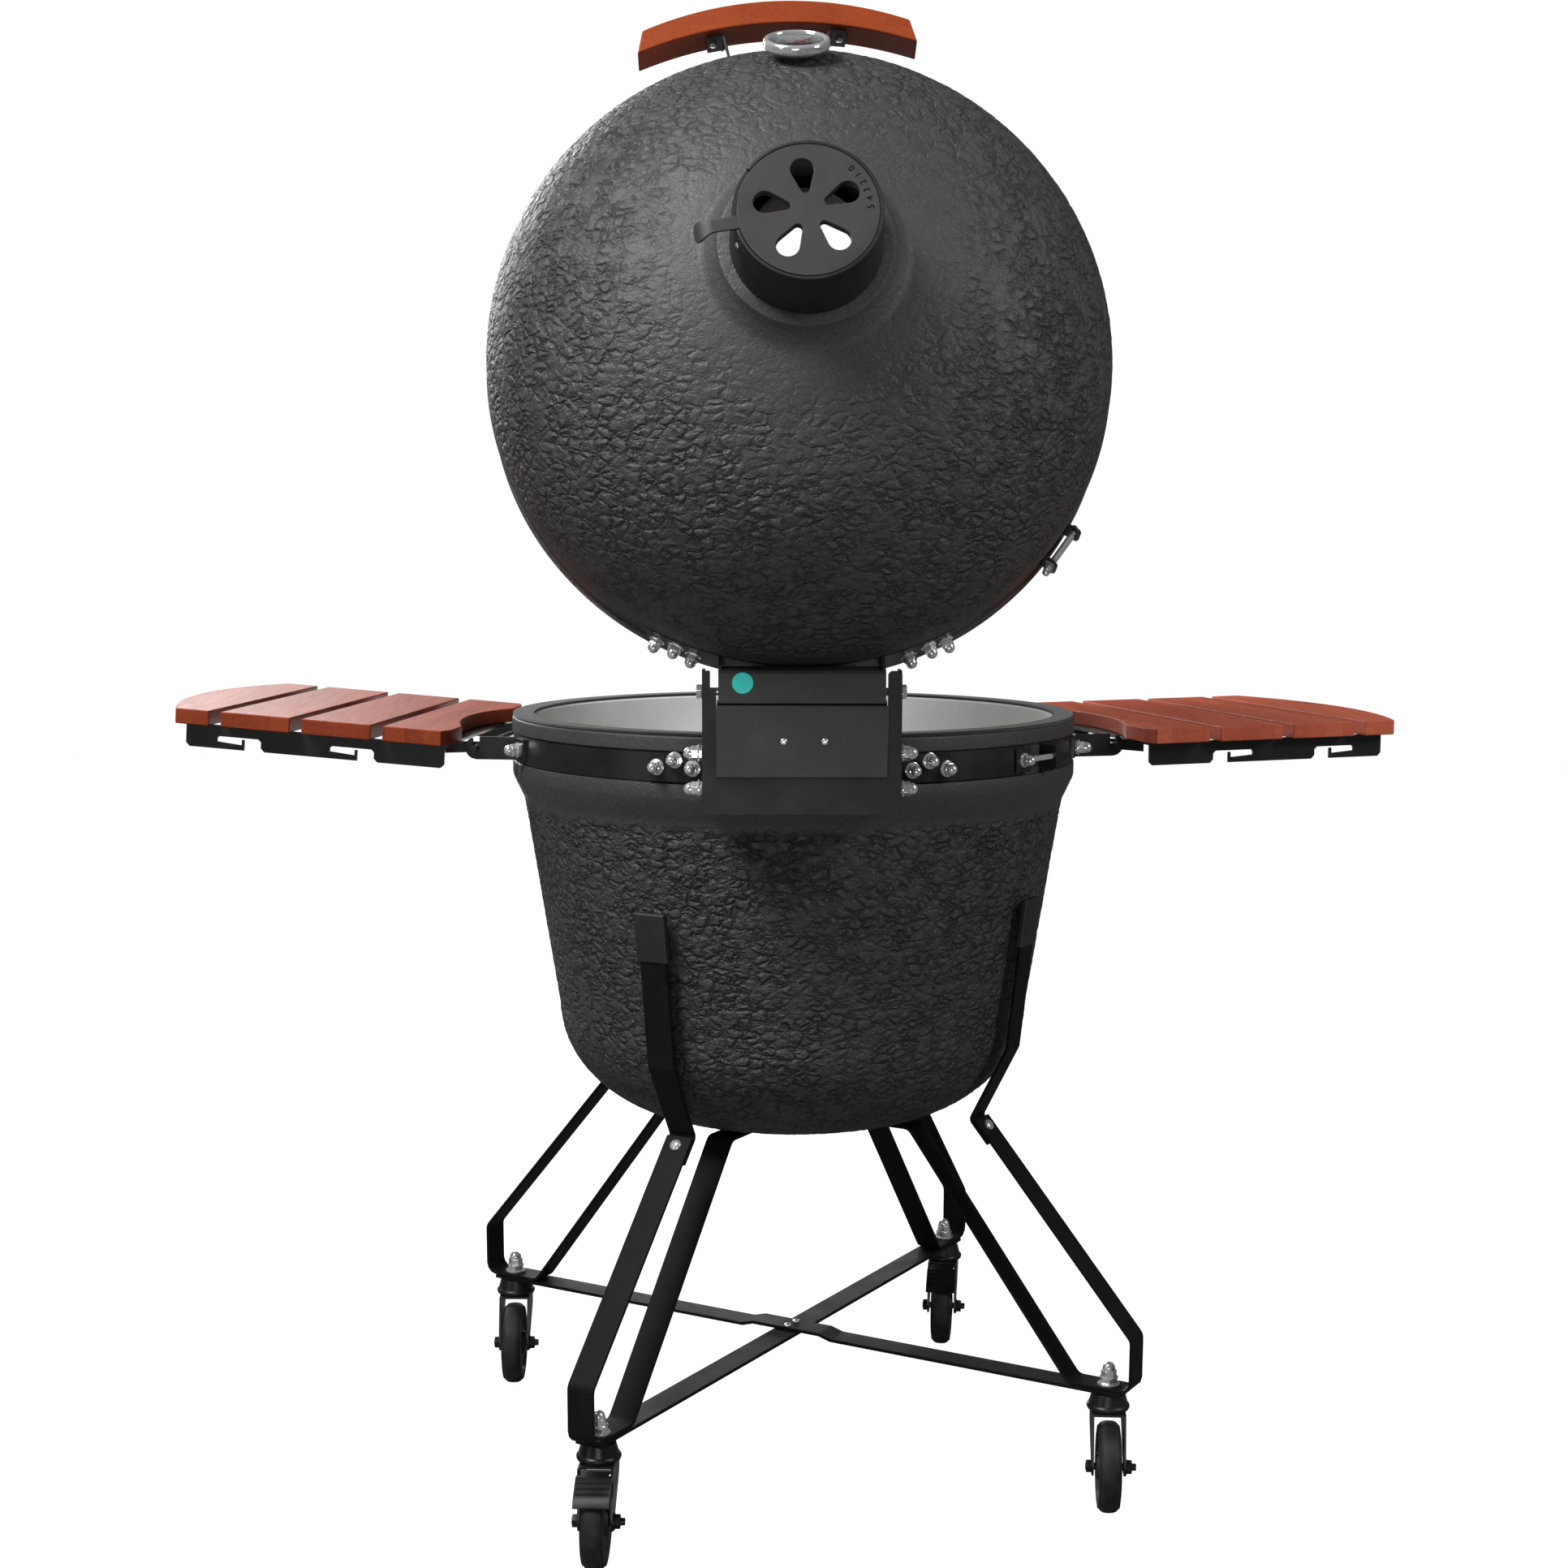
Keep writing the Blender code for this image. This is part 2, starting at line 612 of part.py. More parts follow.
def make_lid_bracket(band, finishes, lid):
    """The bracket bolted to the lid's band: a curved wing plate, two cheeks on the pin and a bent cover plate."""
    low, high, radius = band
    half = PLATE_HALF - STRIP_WIDTH - 0.002
    wing = band_plate(radius + GAP, low + 0.001, high - 0.001, SHEET, math.pi / 2 - WING_ANGLE, 2 * WING_ANGLE, 14)
    bracket = make_object("hinge_lid_bracket", wing, finishes["black"], lid)
    hem = shut(PLATE_Y - SHEET / 2, PLATE_TOP - 0.0315)
    bend = shut(PLATE_Y - SHEET / 2, PLATE_TOP)
    seat = Vector((radius + 0.0026 + SHEET / 2, high - 0.002))
    plate = ribbon(rounded([hem, bend, seat, Vector((radius + 0.0026 + SHEET / 2, high - 0.014))], 0.004, 2), SHEET)
    turn = Matrix.Rotation(math.radians(90), 4, "Z")
    join(bracket, make_object("lid_bracket_plate", upright(plate, 2 * half), None, lid, turn))
    edge = math.sqrt((radius + GAP) ** 2 - (half - SHEET) ** 2) + 0.0012
    cheek = [
        (edge, low + 0.002),
        (edge, high - 0.002),
        tuple(bend + Vector((-0.004, 0.001))),
        tuple(bend + Vector((0.001, 0.0005))),
        tuple(hem + Vector((0.0005, 0.0005))),
        tuple(hem + Vector((-0.0015, -0.006))),
        (HINGE_Y + 0.008, HINGE_Z - 0.009),
        (HINGE_Y - 0.002, HINGE_Z - 0.012),
    ]
    for side in (1, -1):
        plate = upright(cheek, SHEET, -side * (half - SHEET / 2 - 0.0004))
        join(bracket, make_object(f"lid_cheek_{side}", plate, None, lid, turn))
    hole = rod((-PLATE_HALF, HINGE_Y, HINGE_Z), (PLATE_HALF, HINGE_Y, HINGE_Z), PIN_RADIUS + RUNNING, 16)
    cut(bracket, make_object("lid_pin_hole", hole, None, lid))


def make_hinge_fittings(finishes):
    """The pin, the torsion spring round it and the cover over the bracket's window."""
    head = 0.0055
    flange_end = PLATE_HALF + GAP
    pin = make_object(
        "hinge_pin",
        rod((-flange_end - 0.001, HINGE_Y, HINGE_Z), (flange_end + 0.001, HINGE_Y, HINGE_Z), PIN_RADIUS, 16),
        finishes["chrome"],
    )
    for side in (1, -1):
        start, end = side * flange_end, side * (flange_end + head)
        join(pin, make_object(f"pin_head_{side}", rod((start, HINGE_Y, HINGE_Z), (end, HINGE_Y, HINGE_Z), 0.0075, 6), None))

    wire, turns, steps_per_turn = 0.0017, 5, 8
    mean_radius = PIN_RADIUS + RUNNING + 2 * wire
    length = 0.070
    curve = bpy.data.curves.new("hinge_spring", "CURVE")
    curve.dimensions = "3D"
    curve.bevel_depth = wire
    curve.bevel_resolution = 1
    curve.use_fill_caps = True
    count = turns * steps_per_turn + 1
    line = curve.splines.new("POLY")
    line.points.add(count - 1)
    for i in range(count):
        angle = 2 * math.pi * i / steps_per_turn
        x = length * (i / (count - 1) - 0.5)
        place = (x, HINGE_Y + mean_radius * math.cos(angle), HINGE_Z + mean_radius * math.sin(angle))
        line.points[i].co = (*place, 1)
    curve.materials.append(finishes["steel"])
    spring = bpy.data.objects.new("hinge_spring", curve)
    bpy.context.scene.collection.objects.link(spring)

    cover_half, cover_low, cover_high = 0.0853, RIM_HEIGHT - 0.0346, RIM_HEIGHT + 0.0373
    front = PLATE_Y + GAP
    cover = box((-cover_half, front, cover_low), (cover_half, front + 0.0025, cover_high))
    edges = [e for e in cover.edges if abs(e.verts[0].co.y - e.verts[1].co.y) < 1e-6 and e.verts[0].co.y > front + 0.001]
    bmesh.ops.bevel(cover, geom=edges, offset=0.0012, segments=2, affect="EDGES", profile=0.5)
    make_object("hinge_cover", cover, finishes["black"])


# --- Lid --------------------------------------------------------------------------------------------------
def make_lid(finishes, lid):
    rim = LID_RIM_HEIGHT
    seat_radius = LID_RIM_RADIUS - SEAT_DEPTH
    seat_low = rim + LIP_HEIGHT
    seat_high = seat_low + SEAT_WIDTH
    outside = [
        (LID_RIM_RADIUS - 0.002, rim),
        (LID_RIM_RADIUS, rim + 0.002),
        (LID_RIM_RADIUS, seat_low),
        (seat_radius, seat_low),
        (seat_radius, seat_high),
        (LID_RIM_RADIUS, seat_high),
        (LID_RIM_RADIUS + 0.0020, seat_high + 0.001),
        *dome_outline(NECK_RADIUS + 0.014),
        (NECK_RADIUS, NECK_TOP - 0.0045),
        (NECK_RADIUS - 0.004, NECK_TOP),
        (CHIMNEY_HOLE, NECK_TOP),
    ]
    inside = [
        *reversed(dome_outline(CHIMNEY_HOLE, WALL, 5)),
        (LID_RADIUS - WALL, rim + 0.030),
        (LID_RIM_RADIUS - WALL, rim),
    ]
    dome = make_object("lid_dome", revolve(outside + inside), finishes["glaze"], lid)
    surface, outward = thermometer_place()
    hole = rod(surface - outward * 0.06, surface + outward * 0.02, STEM_RADIUS + 2 * GAP, 12)
    cut(dome, make_object("thermometer_hole", hole, None, lid))
    make_gasket("lid_gasket", rim - GASKET_THICKNESS - GAP, LID_RIM_RADIUS, finishes, lid)
    return make_band("lid_band", seat_low, seat_radius, LID_CLAMP, finishes, lid)


def make_vent(finishes, lid):
    bottom = NECK_TOP + GAP
    top = VENT_TOP
    sleeve = CHIMNEY_HOLE - 0.001
    inner_top = COLLAR_TOP_RADIUS - COLLAR_WALL
    ledge = top - DIAL_THICKNESS - GAP - DIAL_THICKNESS
    profile = [
        (COLLAR_BASE_RADIUS, bottom),
        (COLLAR_TOP_RADIUS, top - 0.0008),
        (COLLAR_TOP_RADIUS - 0.0008, top),
        (inner_top, top),
        (inner_top, ledge),
        (inner_top - 0.004, ledge),
        (inner_top - 0.004, bottom + 0.004),
        (sleeve - 0.003, bottom + 0.004),
        (sleeve - 0.003, bottom - 0.026),
        (sleeve, bottom - 0.026),
        (sleeve, bottom),
    ]
    collar = make_object("chimney_collar", revolve(profile, SMALL_STEPS), finishes["vent"], lid)
    slot_from = LEVER_ANGLE - LEVER_TRAVEL - math.radians(7)
    slot = [(COLLAR_TOP_RADIUS - 0.006, top - DIAL_THICKNESS - GAP), (COLLAR_TOP_RADIUS + 0.006, top - DIAL_THICKNESS - GAP), (COLLAR_TOP_RADIUS + 0.006, top + 0.01), (COLLAR_TOP_RADIUS - 0.006, top + 0.01)]
    notch = revolve(slot, 5, slot_from, LEVER_TRAVEL + math.radians(14))
    cut(collar, make_object("lever_slot", notch, None, lid))

    plate_radius = inner_top - GAP
    seat = ledge + GAP
    base = [(0, seat), (plate_radius, seat), (plate_radius, seat + DIAL_THICKNESS - 2 * GAP), (0, seat + DIAL_THICKNESS - 2 * GAP)]
    base_disc = make_object("vent_base_disc", revolve(base, SMALL_STEPS), finishes["vent"], lid)
    axis = make_axis("vent_dial_axis", (0, 0, 0), parent=lid)
    dial_low = top - DIAL_THICKNESS
    dial_radius = inner_top - 0.0007
    dial = make_object(
        "vent_dial",
        revolve([(0, dial_low), (dial_radius, dial_low), (dial_radius, top - 0.0006), (dial_radius - 0.0006, top), (0, top)], SMALL_STEPS),
        finishes["vent"],
        axis,
    )
    for i in range(DIAL_HOLES):
        angle = DIAL_PHASE + 2 * math.pi * i / DIAL_HOLES
        for name, piece, parent in (("base", base_disc, lid), ("dial", dial, axis)):
            drop = slab(teardrop(0.0205, 0.0042, 0.0395, 0.0107), seat - 0.01, top + 0.01)
            turn = Matrix.Rotation(angle, 4, "Z")
            cut(piece, make_object(f"{name}_hole_{i}", drop, None, parent, turn))
    arm_top = top - 0.0005
    lever = ribbon(
        rounded([Vector((dial_radius - 0.006, arm_top - 0.0015)), Vector((0.090, arm_top - 0.0015)), Vector((0.1015, arm_top - 0.016))], 0.010, 4),
        0.0026,
    )
    arm = make_object("vent_lever", upright(lever, 0.013), None, axis, Matrix.Rotation(LEVER_ANGLE, 4, "Z"))
    join(dial, arm)


def teardrop(near, near_radius, far, far_radius):
    """A slot along +X, narrow toward the middle and wide at its outer end."""
    lean = math.asin((far_radius - near_radius) / (far - near))
    quarter = math.pi / 2 + lean
    return arc((far, 0), far_radius, -quarter, quarter, 6) + arc((near, 0), near_radius, quarter, 2 * math.pi - quarter, 2)


def thermometer_place():
    radius, height = dome_point(THERMOMETER_SWEEP)
    step = 1e-3
    after = Vector(dome_point(THERMOMETER_SWEEP + step))
    before = Vector(dome_point(THERMOMETER_SWEEP - step))
    along = (after - before).normalized()
    turn = Matrix.Rotation(THERMOMETER_TURN, 3, "Z")
    return turn @ Vector((0, -radius, height)), turn @ Vector((0, -along.y, -along.x))


def make_thermometer(finishes, lid):
    surface, outward = thermometer_place()
    turn = Vector((0, 0, 1)).rotation_difference(outward).to_matrix().to_4x4()
    place = Matrix.Translation(surface) @ turn
    back, face, rim = 0.0040, 0.0115, 0.0175
    radius = THERMOMETER_RADIUS
    profile = [
        (0, -0.050),
        (STEM_RADIUS, -0.048),
        (STEM_RADIUS, back),
        (radius - 0.010, back),
        (radius - 0.002, 0.0075),
        (radius, 0.0100),
        (radius, 0.0145),
        (radius - 0.0025, rim),
        (radius - 0.0050, rim),
        (radius - 0.0060, face),
        (0, face),
    ]
    body = revolve(profile, 20, closed=False)
    make_object("thermometer_body", body, finishes["chrome"], lid, place)
    axis = make_axis("thermometer_needle_axis", tuple(surface), parent=lid)
    axis.rotation_euler = turn.to_euler()
    low = face + GAP
    needle = make_object("thermometer_needle", rod((0, 0, low), (0, 0, low + 0.002), 0.0028, 12), finishes["red"], axis)
    pointer = slab([(-0.007, -0.0011), (0.021, -0.0004), (0.021, 0.0004), (-0.007, 0.0011)], low + 0.0006, low + 0.0014)
    join(needle, make_object("needle_pointer", pointer, None, axis, Matrix.Rotation(math.radians(-140), 4, "Z")))


def make_handle(finishes, lid, band):
    low, high, radius = band
    middle = -math.pi / 2 + HANDLE_TURN
    outer = HANDLE_RADIUS + HANDLE_DEPTH
    # The outer face is the arc of a smaller circle, so the grip is thinner at its ends.
    outer_radius = 0.360
    centre = outer - outer_radius
    ends = HANDLE_HALF_ANGLE
    reach = math.radians(23.0)
    front = arc((centre, 0), outer_radius, -reach, reach, 10)
    back = arc((0, 0), HANDLE_RADIUS, ends, -ends, 10)
    grip = slab(front + back, HANDLE_TOP - HANDLE_HEIGHT, HANDLE_TOP)
    bmesh.ops.recalc_face_normals(grip, faces=grip.faces)
    edges = [e for e in grip.edges if abs(e.verts[0].co.z - e.verts[1].co.z) < 1e-6]
    bmesh.ops.bevel(grip, geom=edges, offset=0.0018, segments=1, affect="EDGES", profile=0.5)
    make_object("handle_grip", grip, finishes["wood"], lid, Matrix.Rotation(middle, 4, "Z"))

    inner = HANDLE_RADIUS - 0.0011  # the tab is flat and the wood's inner face is hollow
    foot = radius + GAP
    tab_low, tab_high = low + 0.002, high - 0.001
    for name, side in (("handle_bracket_left", 1), ("handle_bracket_right", -1)):
        angle = middle + side * HANDLE_BRACKET_ANGLE
        # Looking along the bracket's own radius, one tab is bolted to the wood and one to the band.
        path = [Vector((inner - 0.0015, side * 0.018)), Vector((inner - 0.0015, 0)), Vector((foot + 0.0015, 0)), Vector((foot + 0.0015, -side * 0.024))]
        strip = ribbon(rounded(path, 0.0035, 2), SHEET)
        turn = Matrix.Rotation(angle, 4, "Z")
        make_object(name, slab(strip, tab_low, tab_high), finishes["black"], lid, turn)


# --- Shelves ----------------------------------------------------------------------------------------------
def plank_outlines():
    """The four planks in the shelf's own plane: u outward, v along the planks."""
    half = PLANK_HALF_LENGTH
    hollow = RIM_RADIUS + BOWL_CLEARANCE
    starts = SHELF_REACH + SHELF_START
    reach = math.acos(starts / hollow)
    inner_edge = [(x - SHELF_REACH, y) for x, y in arc((0, 0), hollow, -reach, reach, 12)]
    first_end = SHELF_START + PLANK_WIDTH - 0.006
    corner = 0.022
    outlines = [
        [(SHELF_START + 0.006, -half), (first_end, -half), (first_end, half), (SHELF_START + 0.006, half), (SHELF_START, half - corner)]
        + inner_edge[::-1]
        + [(SHELF_START, -half + corner)]
    ]
    start = first_end + PLANK_GAP
    for _ in range(2):
        outlines.append([(start, -half), (start + PLANK_WIDTH, -half), (start + PLANK_WIDTH, half), (start, half)])
        start += PLANK_WIDTH + PLANK_GAP
    centre = SHELF_END - SHELF_END_RADIUS
    sweep = math.asin(half / SHELF_END_RADIUS)
    outlines.append([(start, half), (start, -half)] + arc((centre, 0), SHELF_END_RADIUS, -sweep, sweep, 12))
    return outlines


def rail_outline():
    """The side rail, with two open slots that leave hooks to hang tools from."""
    top = -PLANK_THICKNESS - GAP
    low = top - RAIL_DEPTH
    notch = low + 0.0135
    shape = [(0.030, top), (0.030, low + 0.004), (0.034, low)]
    for start in (0.108, 0.234):
        mouth, slot = start + 0.0185, start + 0.049
        shape += [
            (start - 0.004, low),
            (start, low + 0.004),
            (start, notch - 0.003),
            (start + 0.003, notch),
            (slot - 0.002, notch),
            (slot, notch - 0.002),
            (slot, low + 0.0075),
            (mouth + 0.003, low + 0.0055),
            (mouth + 0.003, low + 0.0115),
            (mouth, low + 0.0115),
            (mouth, low),
        ]
    shape += [(0.314, low), (0.318, low + 0.004), (0.318, top)]
    return shape


def make_shelf(name, side, turn, tilt, band, finishes):
    """One shelf: planks on a steel frame, whose rod hangs in the slots of two arms on the bowl's band."""
    low, high, radius = band
    ahead = -turn if side > 0 else math.pi + turn
    root = make_axis(f"shelf_{name}", (0, 0, SHELF_HEIGHT), (0, 0, ahead))
    rod_height = -ROD_DROP
    fold = make_axis(f"shelf_{name}_fold_axis", (SHELF_REACH + ROD_REACH, 0, rod_height), (0, -tilt, 0), root)
    # The planks and the frame are drawn from the rod, so that they turn about it.
    to_rod = Matrix.Translation((-ROD_REACH, 0, ROD_DROP))
    for i, outline in enumerate(plank_outlines(), 1):
        plank = slab(outline, -PLANK_THICKNESS, 0)
        bmesh.ops.recalc_face_normals(plank, faces=plank.faces)
        edges = [e for e in plank.edges if e.verts[0].co.z > -1e-6 and e.verts[1].co.z > -1e-6]
        bmesh.ops.bevel(plank, geom=edges, offset=0.0012, segments=1, affect="EDGES", profile=0.5)
        make_object(f"shelf_{name}_plank_{i}", plank, finishes["wood"], fold, to_rod)

    top = -PLANK_THICKNESS - GAP
    rail = RAIL_OFFSET + SHEET / 2
    frame = make_object(f"shelf_{name}_frame", box((0.030, -rail, top - SHEET), (0.050, rail, top)), finishes["black"], fold, to_rod)
    outer_bar = box((0.250, -rail, top - SHEET), (0.270, rail, top))
    join(frame, make_object(f"{name}_outer_bar", outer_bar, None, fold, to_rod))
    for end in (1, -1):
        side_rail = upright(rail_outline(), SHEET, end * RAIL_OFFSET)
        join(frame, make_object(f"{name}_rail_{end}", side_rail, None, fold, to_rod))
        ear = [
            (0.050, top - 0.001),
            (0.028, top - 0.001),
            (0.000, rod_height + 0.006),
            (-0.0005, rod_height - 0.0045),
            (0.012, rod_height - 0.0065),
            (0.050, top - 0.016),
        ]
        plate = upright(ear, SHEET, end * (ARM_OFFSET - 0.014))
        join(frame, make_object(f"{name}_ear_{end}", plate, None, fold, to_rod))
    tip = ARM_OFFSET + 0.015
    rod_shape = rod((ROD_REACH, -tip, rod_height), (ROD_REACH, tip, rod_height), ROD_RADIUS, 12)
    join(frame, make_object(f"{name}_rod", rod_shape, None, fold, to_rod))

    for end, place in ((1, "back"), (-1, "front")):
        make_arm(f"shelf_{name}_arm_{place}", end, radius, finishes, root)


def make_arm(name, end, band_radius, finishes, root):
    """An arm bolted to the band. It is open at the top, for the shelf's rod to drop in."""
    rod_height = -ROD_DROP
    half = ARM_HEIGHT / 2
    pivot = SHELF_REACH + ROD_REACH
    meet = math.sqrt((band_radius + GAP) ** 2 - ARM_OFFSET**2) + 0.004
    slot = ROD_RADIUS + RUNNING
    round_end = arc((pivot, rod_height), half, -math.pi / 2, math.radians(58), 6)
    outline = (
        [(meet, rod_height - half)]
        + round_end
        + [(pivot + slot, rod_height + half - 0.0015)]
        + arc((pivot, rod_height), slot, 0, -math.pi, 6)
        + [(pivot - slot, rod_height + half), (meet, rod_height + half)]
    )
    arm = make_object(name, upright(outline, ARM_THICKNESS, end * ARM_OFFSET), finishes["black"], root)
    # The tab follows the band, away from the shelf's middle.
    spread = math.asin(ARM_OFFSET / (band_radius + GAP))
    low = -ROD_DROP - half
    tab = band_plate(band_radius + GAP, low + 0.001, low + ARM_HEIGHT - 0.001, SHEET + 0.001, end * (spread - math.radians(0.9)), end * math.radians(6.2), 3)
    join(arm, make_object(f"{name}_tab", tab, None, root))
    root_box = box((meet - 0.0025, end * ARM_OFFSET - ARM_THICKNESS / 2 + 0.0002, low + 0.0015), (meet + 0.003, end * ARM_OFFSET + ARM_THICKNESS / 2 - 0.0002, low + ARM_HEIGHT - 0.0015))
    join(arm, make_object(f"{name}_root", root_box, None, root))


# --- Cart -------------------------------------------------------------------------------------------------
def make_leg(name, direction, finishes):
    """One flat bar bent into a loop: down the outside, across the caster and back up under the bowl."""
    foot = FOOT_HEIGHT - BAR_THICKNESS / 2
    seat = BOWL_BOTTOM - GAP - BAR_THICKNESS / 2
    path = [LEG_TOP, KNEE, Vector((KNEE.x, foot)), Vector((FOOT_INNER, foot)), Vector((SEAT_START, seat)), Vector((SEAT_END, seat))]
    turn = Matrix.Rotation(direction, 4, "Z")
    make_object(f"leg_{name}", upright(ribbon(rounded(path, BEND_RADIUS), BAR_THICKNESS), BAR_WIDTH), finishes["black"], None, turn)

    along = (KNEE - LEG_TOP).normalized()
    across = Vector((-along.y, along.x))
    if across.y < 0:
        across = -across
    joint = LEG_TOP - across * (BAR_THICKNESS + GAP) - along * 0.004
    strap = [STRAP_TOP, STRAP_BEND, joint, joint + along * (TAB_LENGTH + 0.004)]
    make_object(f"strap_{name}", upright(ribbon(rounded(strap, 0.006), BAR_THICKNESS), BAR_WIDTH), finishes["black"], None, turn)


def make_cross_bars(finishes):
    """Two flat bars on the diagonals. The upper one is joggled over the lower."""
    low = FOOT_HEIGHT - 1.5 * BAR_THICKNESS - GAP
    reach = CASTER_RADIUS + 0.020
    step = BAR_THICKNESS + GAP
    straight = [Vector((-reach, low)), Vector((reach, low))]
    joggled = [
        Vector((-reach, low)),
        Vector((-0.060, low)),
        Vector((-0.045, low + step)),
        Vector((0.045, low + step)),
        Vector((0.060, low)),
        Vector((reach, low)),
    ]
    for name, path, direction in (
        ("cross_bar_lower", straight, LEGS["near_left"][0]),
        ("cross_bar_upper", joggled, LEGS["near_right"][0]),
    ):
        bar = make_object(name, upright(ribbon(path, BAR_THICKNESS), BAR_WIDTH), finishes["black"], None, Matrix.Rotation(direction, 4, "Z"))
        for end in (1, -1):
            hole = rod((end * CASTER_RADIUS, 0, low - 0.02), (end * CASTER_RADIUS, 0, low + 0.02), 0.0055 + GAP, 12)
            cut(bar, make_object(f"{name}_hole_{end}", hole, None, None, Matrix.Rotation(direction, 4, "Z")))


def make_cradle_ring(finishes):
    top = BOWL_BOTTOM - BAR_THICKNESS - 2 * GAP
    profile = [(RING_INNER, top - 0.003), (RING_OUTER, top - 0.003), (RING_OUTER, top), (RING_INNER, top)]
    make_object("cradle_ring", revolve(profile, 20), finishes["black"])


def make_caster(name, direction, trail, finishes):
    """Fork, wheel and, on two of them, a brake pedal. The fork turns about its stem, and the wheel about its axle."""
    place = Vector((CASTER_RADIUS * math.cos(direction), CASTER_RADIUS * math.sin(direction), 0))
    swivel = make_axis(f"caster_{name}_axis", place, (0, 0, -trail))
    inner = WHEEL_WIDTH / 2 + 0.0022
    bar_low = FOOT_HEIGHT - 2 * BAR_THICKNESS - 2 * GAP
    bearing = bar_low - 0.0004
    fork_top = FORK_TOP + FORK_SIDE
    bridge = box((-inner - FORK_SIDE, -0.026, FORK_TOP), (inner + FORK_SIDE, 0.024, fork_top))
    fork = make_object(f"caster_fork_{name}", bridge, finishes["black_zinc"], swivel)
    cheek = [
        (-0.026, FORK_TOP + 0.001),
        (0.024, FORK_TOP + 0.001),
        (CASTER_TRAIL + 0.010, WHEEL_RADIUS + 0.006),
        (CASTER_TRAIL + 0.008, WHEEL_RADIUS - 0.008),
        (CASTER_TRAIL - 0.008, WHEEL_RADIUS - 0.008),
        (CASTER_TRAIL - 0.012, WHEEL_RADIUS + 0.004),
        (-0.022, WHEEL_RADIUS + 0.036),
    ]
    turn = Matrix.Rotation(math.radians(90), 4, "Z")
    for side in (1, -1):
        plate = upright(cheek, FORK_SIDE, -side * (inner + FORK_SIDE / 2))
        join(fork, make_object(f"{name}_cheek_{side}", plate, None, swivel, turn))
        if name in BRAKED:
            ear = [(0.018, FORK_TOP - 0.012), (0.0345, FORK_TOP - 0.012), (0.0340, FORK_TOP + 0.0035), (0.018, FORK_TOP + 0.0035)]
            plate = upright(ear, FORK_SIDE - 0.0004, -side * (inner + FORK_SIDE / 2))
            join(fork, make_object(f"{name}_ear_{side}", plate, None, swivel, turn))
    head = [(0, fork_top - 0.001), (0.0205, fork_top - 0.001), (0.0225, fork_top + 0.004), (0.0185, bearing), (0, bearing)]
    join(fork, make_object(f"{name}_bearing", revolve(head, 14, closed=False), None, swivel))
    axle = rod((-inner - 0.014, CASTER_TRAIL, WHEEL_RADIUS), (inner + 0.009, CASTER_TRAIL, WHEEL_RADIUS), AXLE_RADIUS, 12)
    join(fork, make_object(f"{name}_axle", axle, None, swivel))
    if name in BRAKED:
        hole = rod((-0.05, *BRAKE_PIVOT), (0.05, *BRAKE_PIVOT), 0.0024 + RUNNING, 12)
        cut(fork, make_object(f"{name}_brake_hole", hole, None, swivel))

    hub = make_axis(f"wheel_{name}_axis", (0, CASTER_TRAIL, WHEEL_RADIUS), (0, math.radians(90), 0), swivel)
    half = WHEEL_WIDTH / 2
    bore = AXLE_RADIUS + RUNNING
    side = [(bore, half), (0.014, half), (0.031, half - 0.004), (0.0445, half - 0.002), (WHEEL_RADIUS, half - 0.010)]
    profile = side + [(r, -z) for r, z in reversed(side)]
    make_object(f"wheel_{name}", revolve(profile, 20), finishes["rubber"], hub)

    if name in BRAKED:
        make_brake(name, swivel, inner, finishes)


def make_brake(name, swivel, inner, finishes):
    """A ribbed foot pedal that turns on a pin between the fork's cheeks, and presses on the wheel's tread."""
    axis = make_axis(f"brake_{name}_axis", (0, *BRAKE_PIVOT), parent=swivel)
    width = 2 * inner - 0.003
    path = [Vector((-0.001, 0.000)), Vector((0.0165, -0.0026)), Vector((0.0370, -0.0150)), Vector((0.0425, -0.0225))]
    turn = Matrix.Rotation(math.radians(90), 4, "Z")
    pedal = make_object(
        f"brake_pedal_{name}", upright(ribbon(path, 0.0036), width), finishes["black_zinc"], axis, turn
    )
    wide = 2 * (inner + FORK_SIDE)
    tread = ribbon([path[1] + Vector((-0.0060, 0.0010)), *path[1:]], 0.0038)
    join(pedal, make_object(f"{name}_tread", upright(tread, wide), None, axis, turn))
    pin = rod((-inner - FORK_SIDE, 0, 0), (inner + FORK_SIDE, 0, 0), 0.0024, 10)
    join(pedal, make_object(f"{name}_brake_pin", pin, None, axis))
    for i, (along, rise) in enumerate(((0.0155, -0.0008), (0.0215, -0.0037), (0.0275, -0.0074), (0.0335, -0.0110))):
        rib = rod((-wide / 2 + 0.001, along, rise), (wide / 2 - 0.001, along, rise), 0.0014, 6)
        join(pedal, make_object(f"{name}_rib_{i}", rib, None, axis))


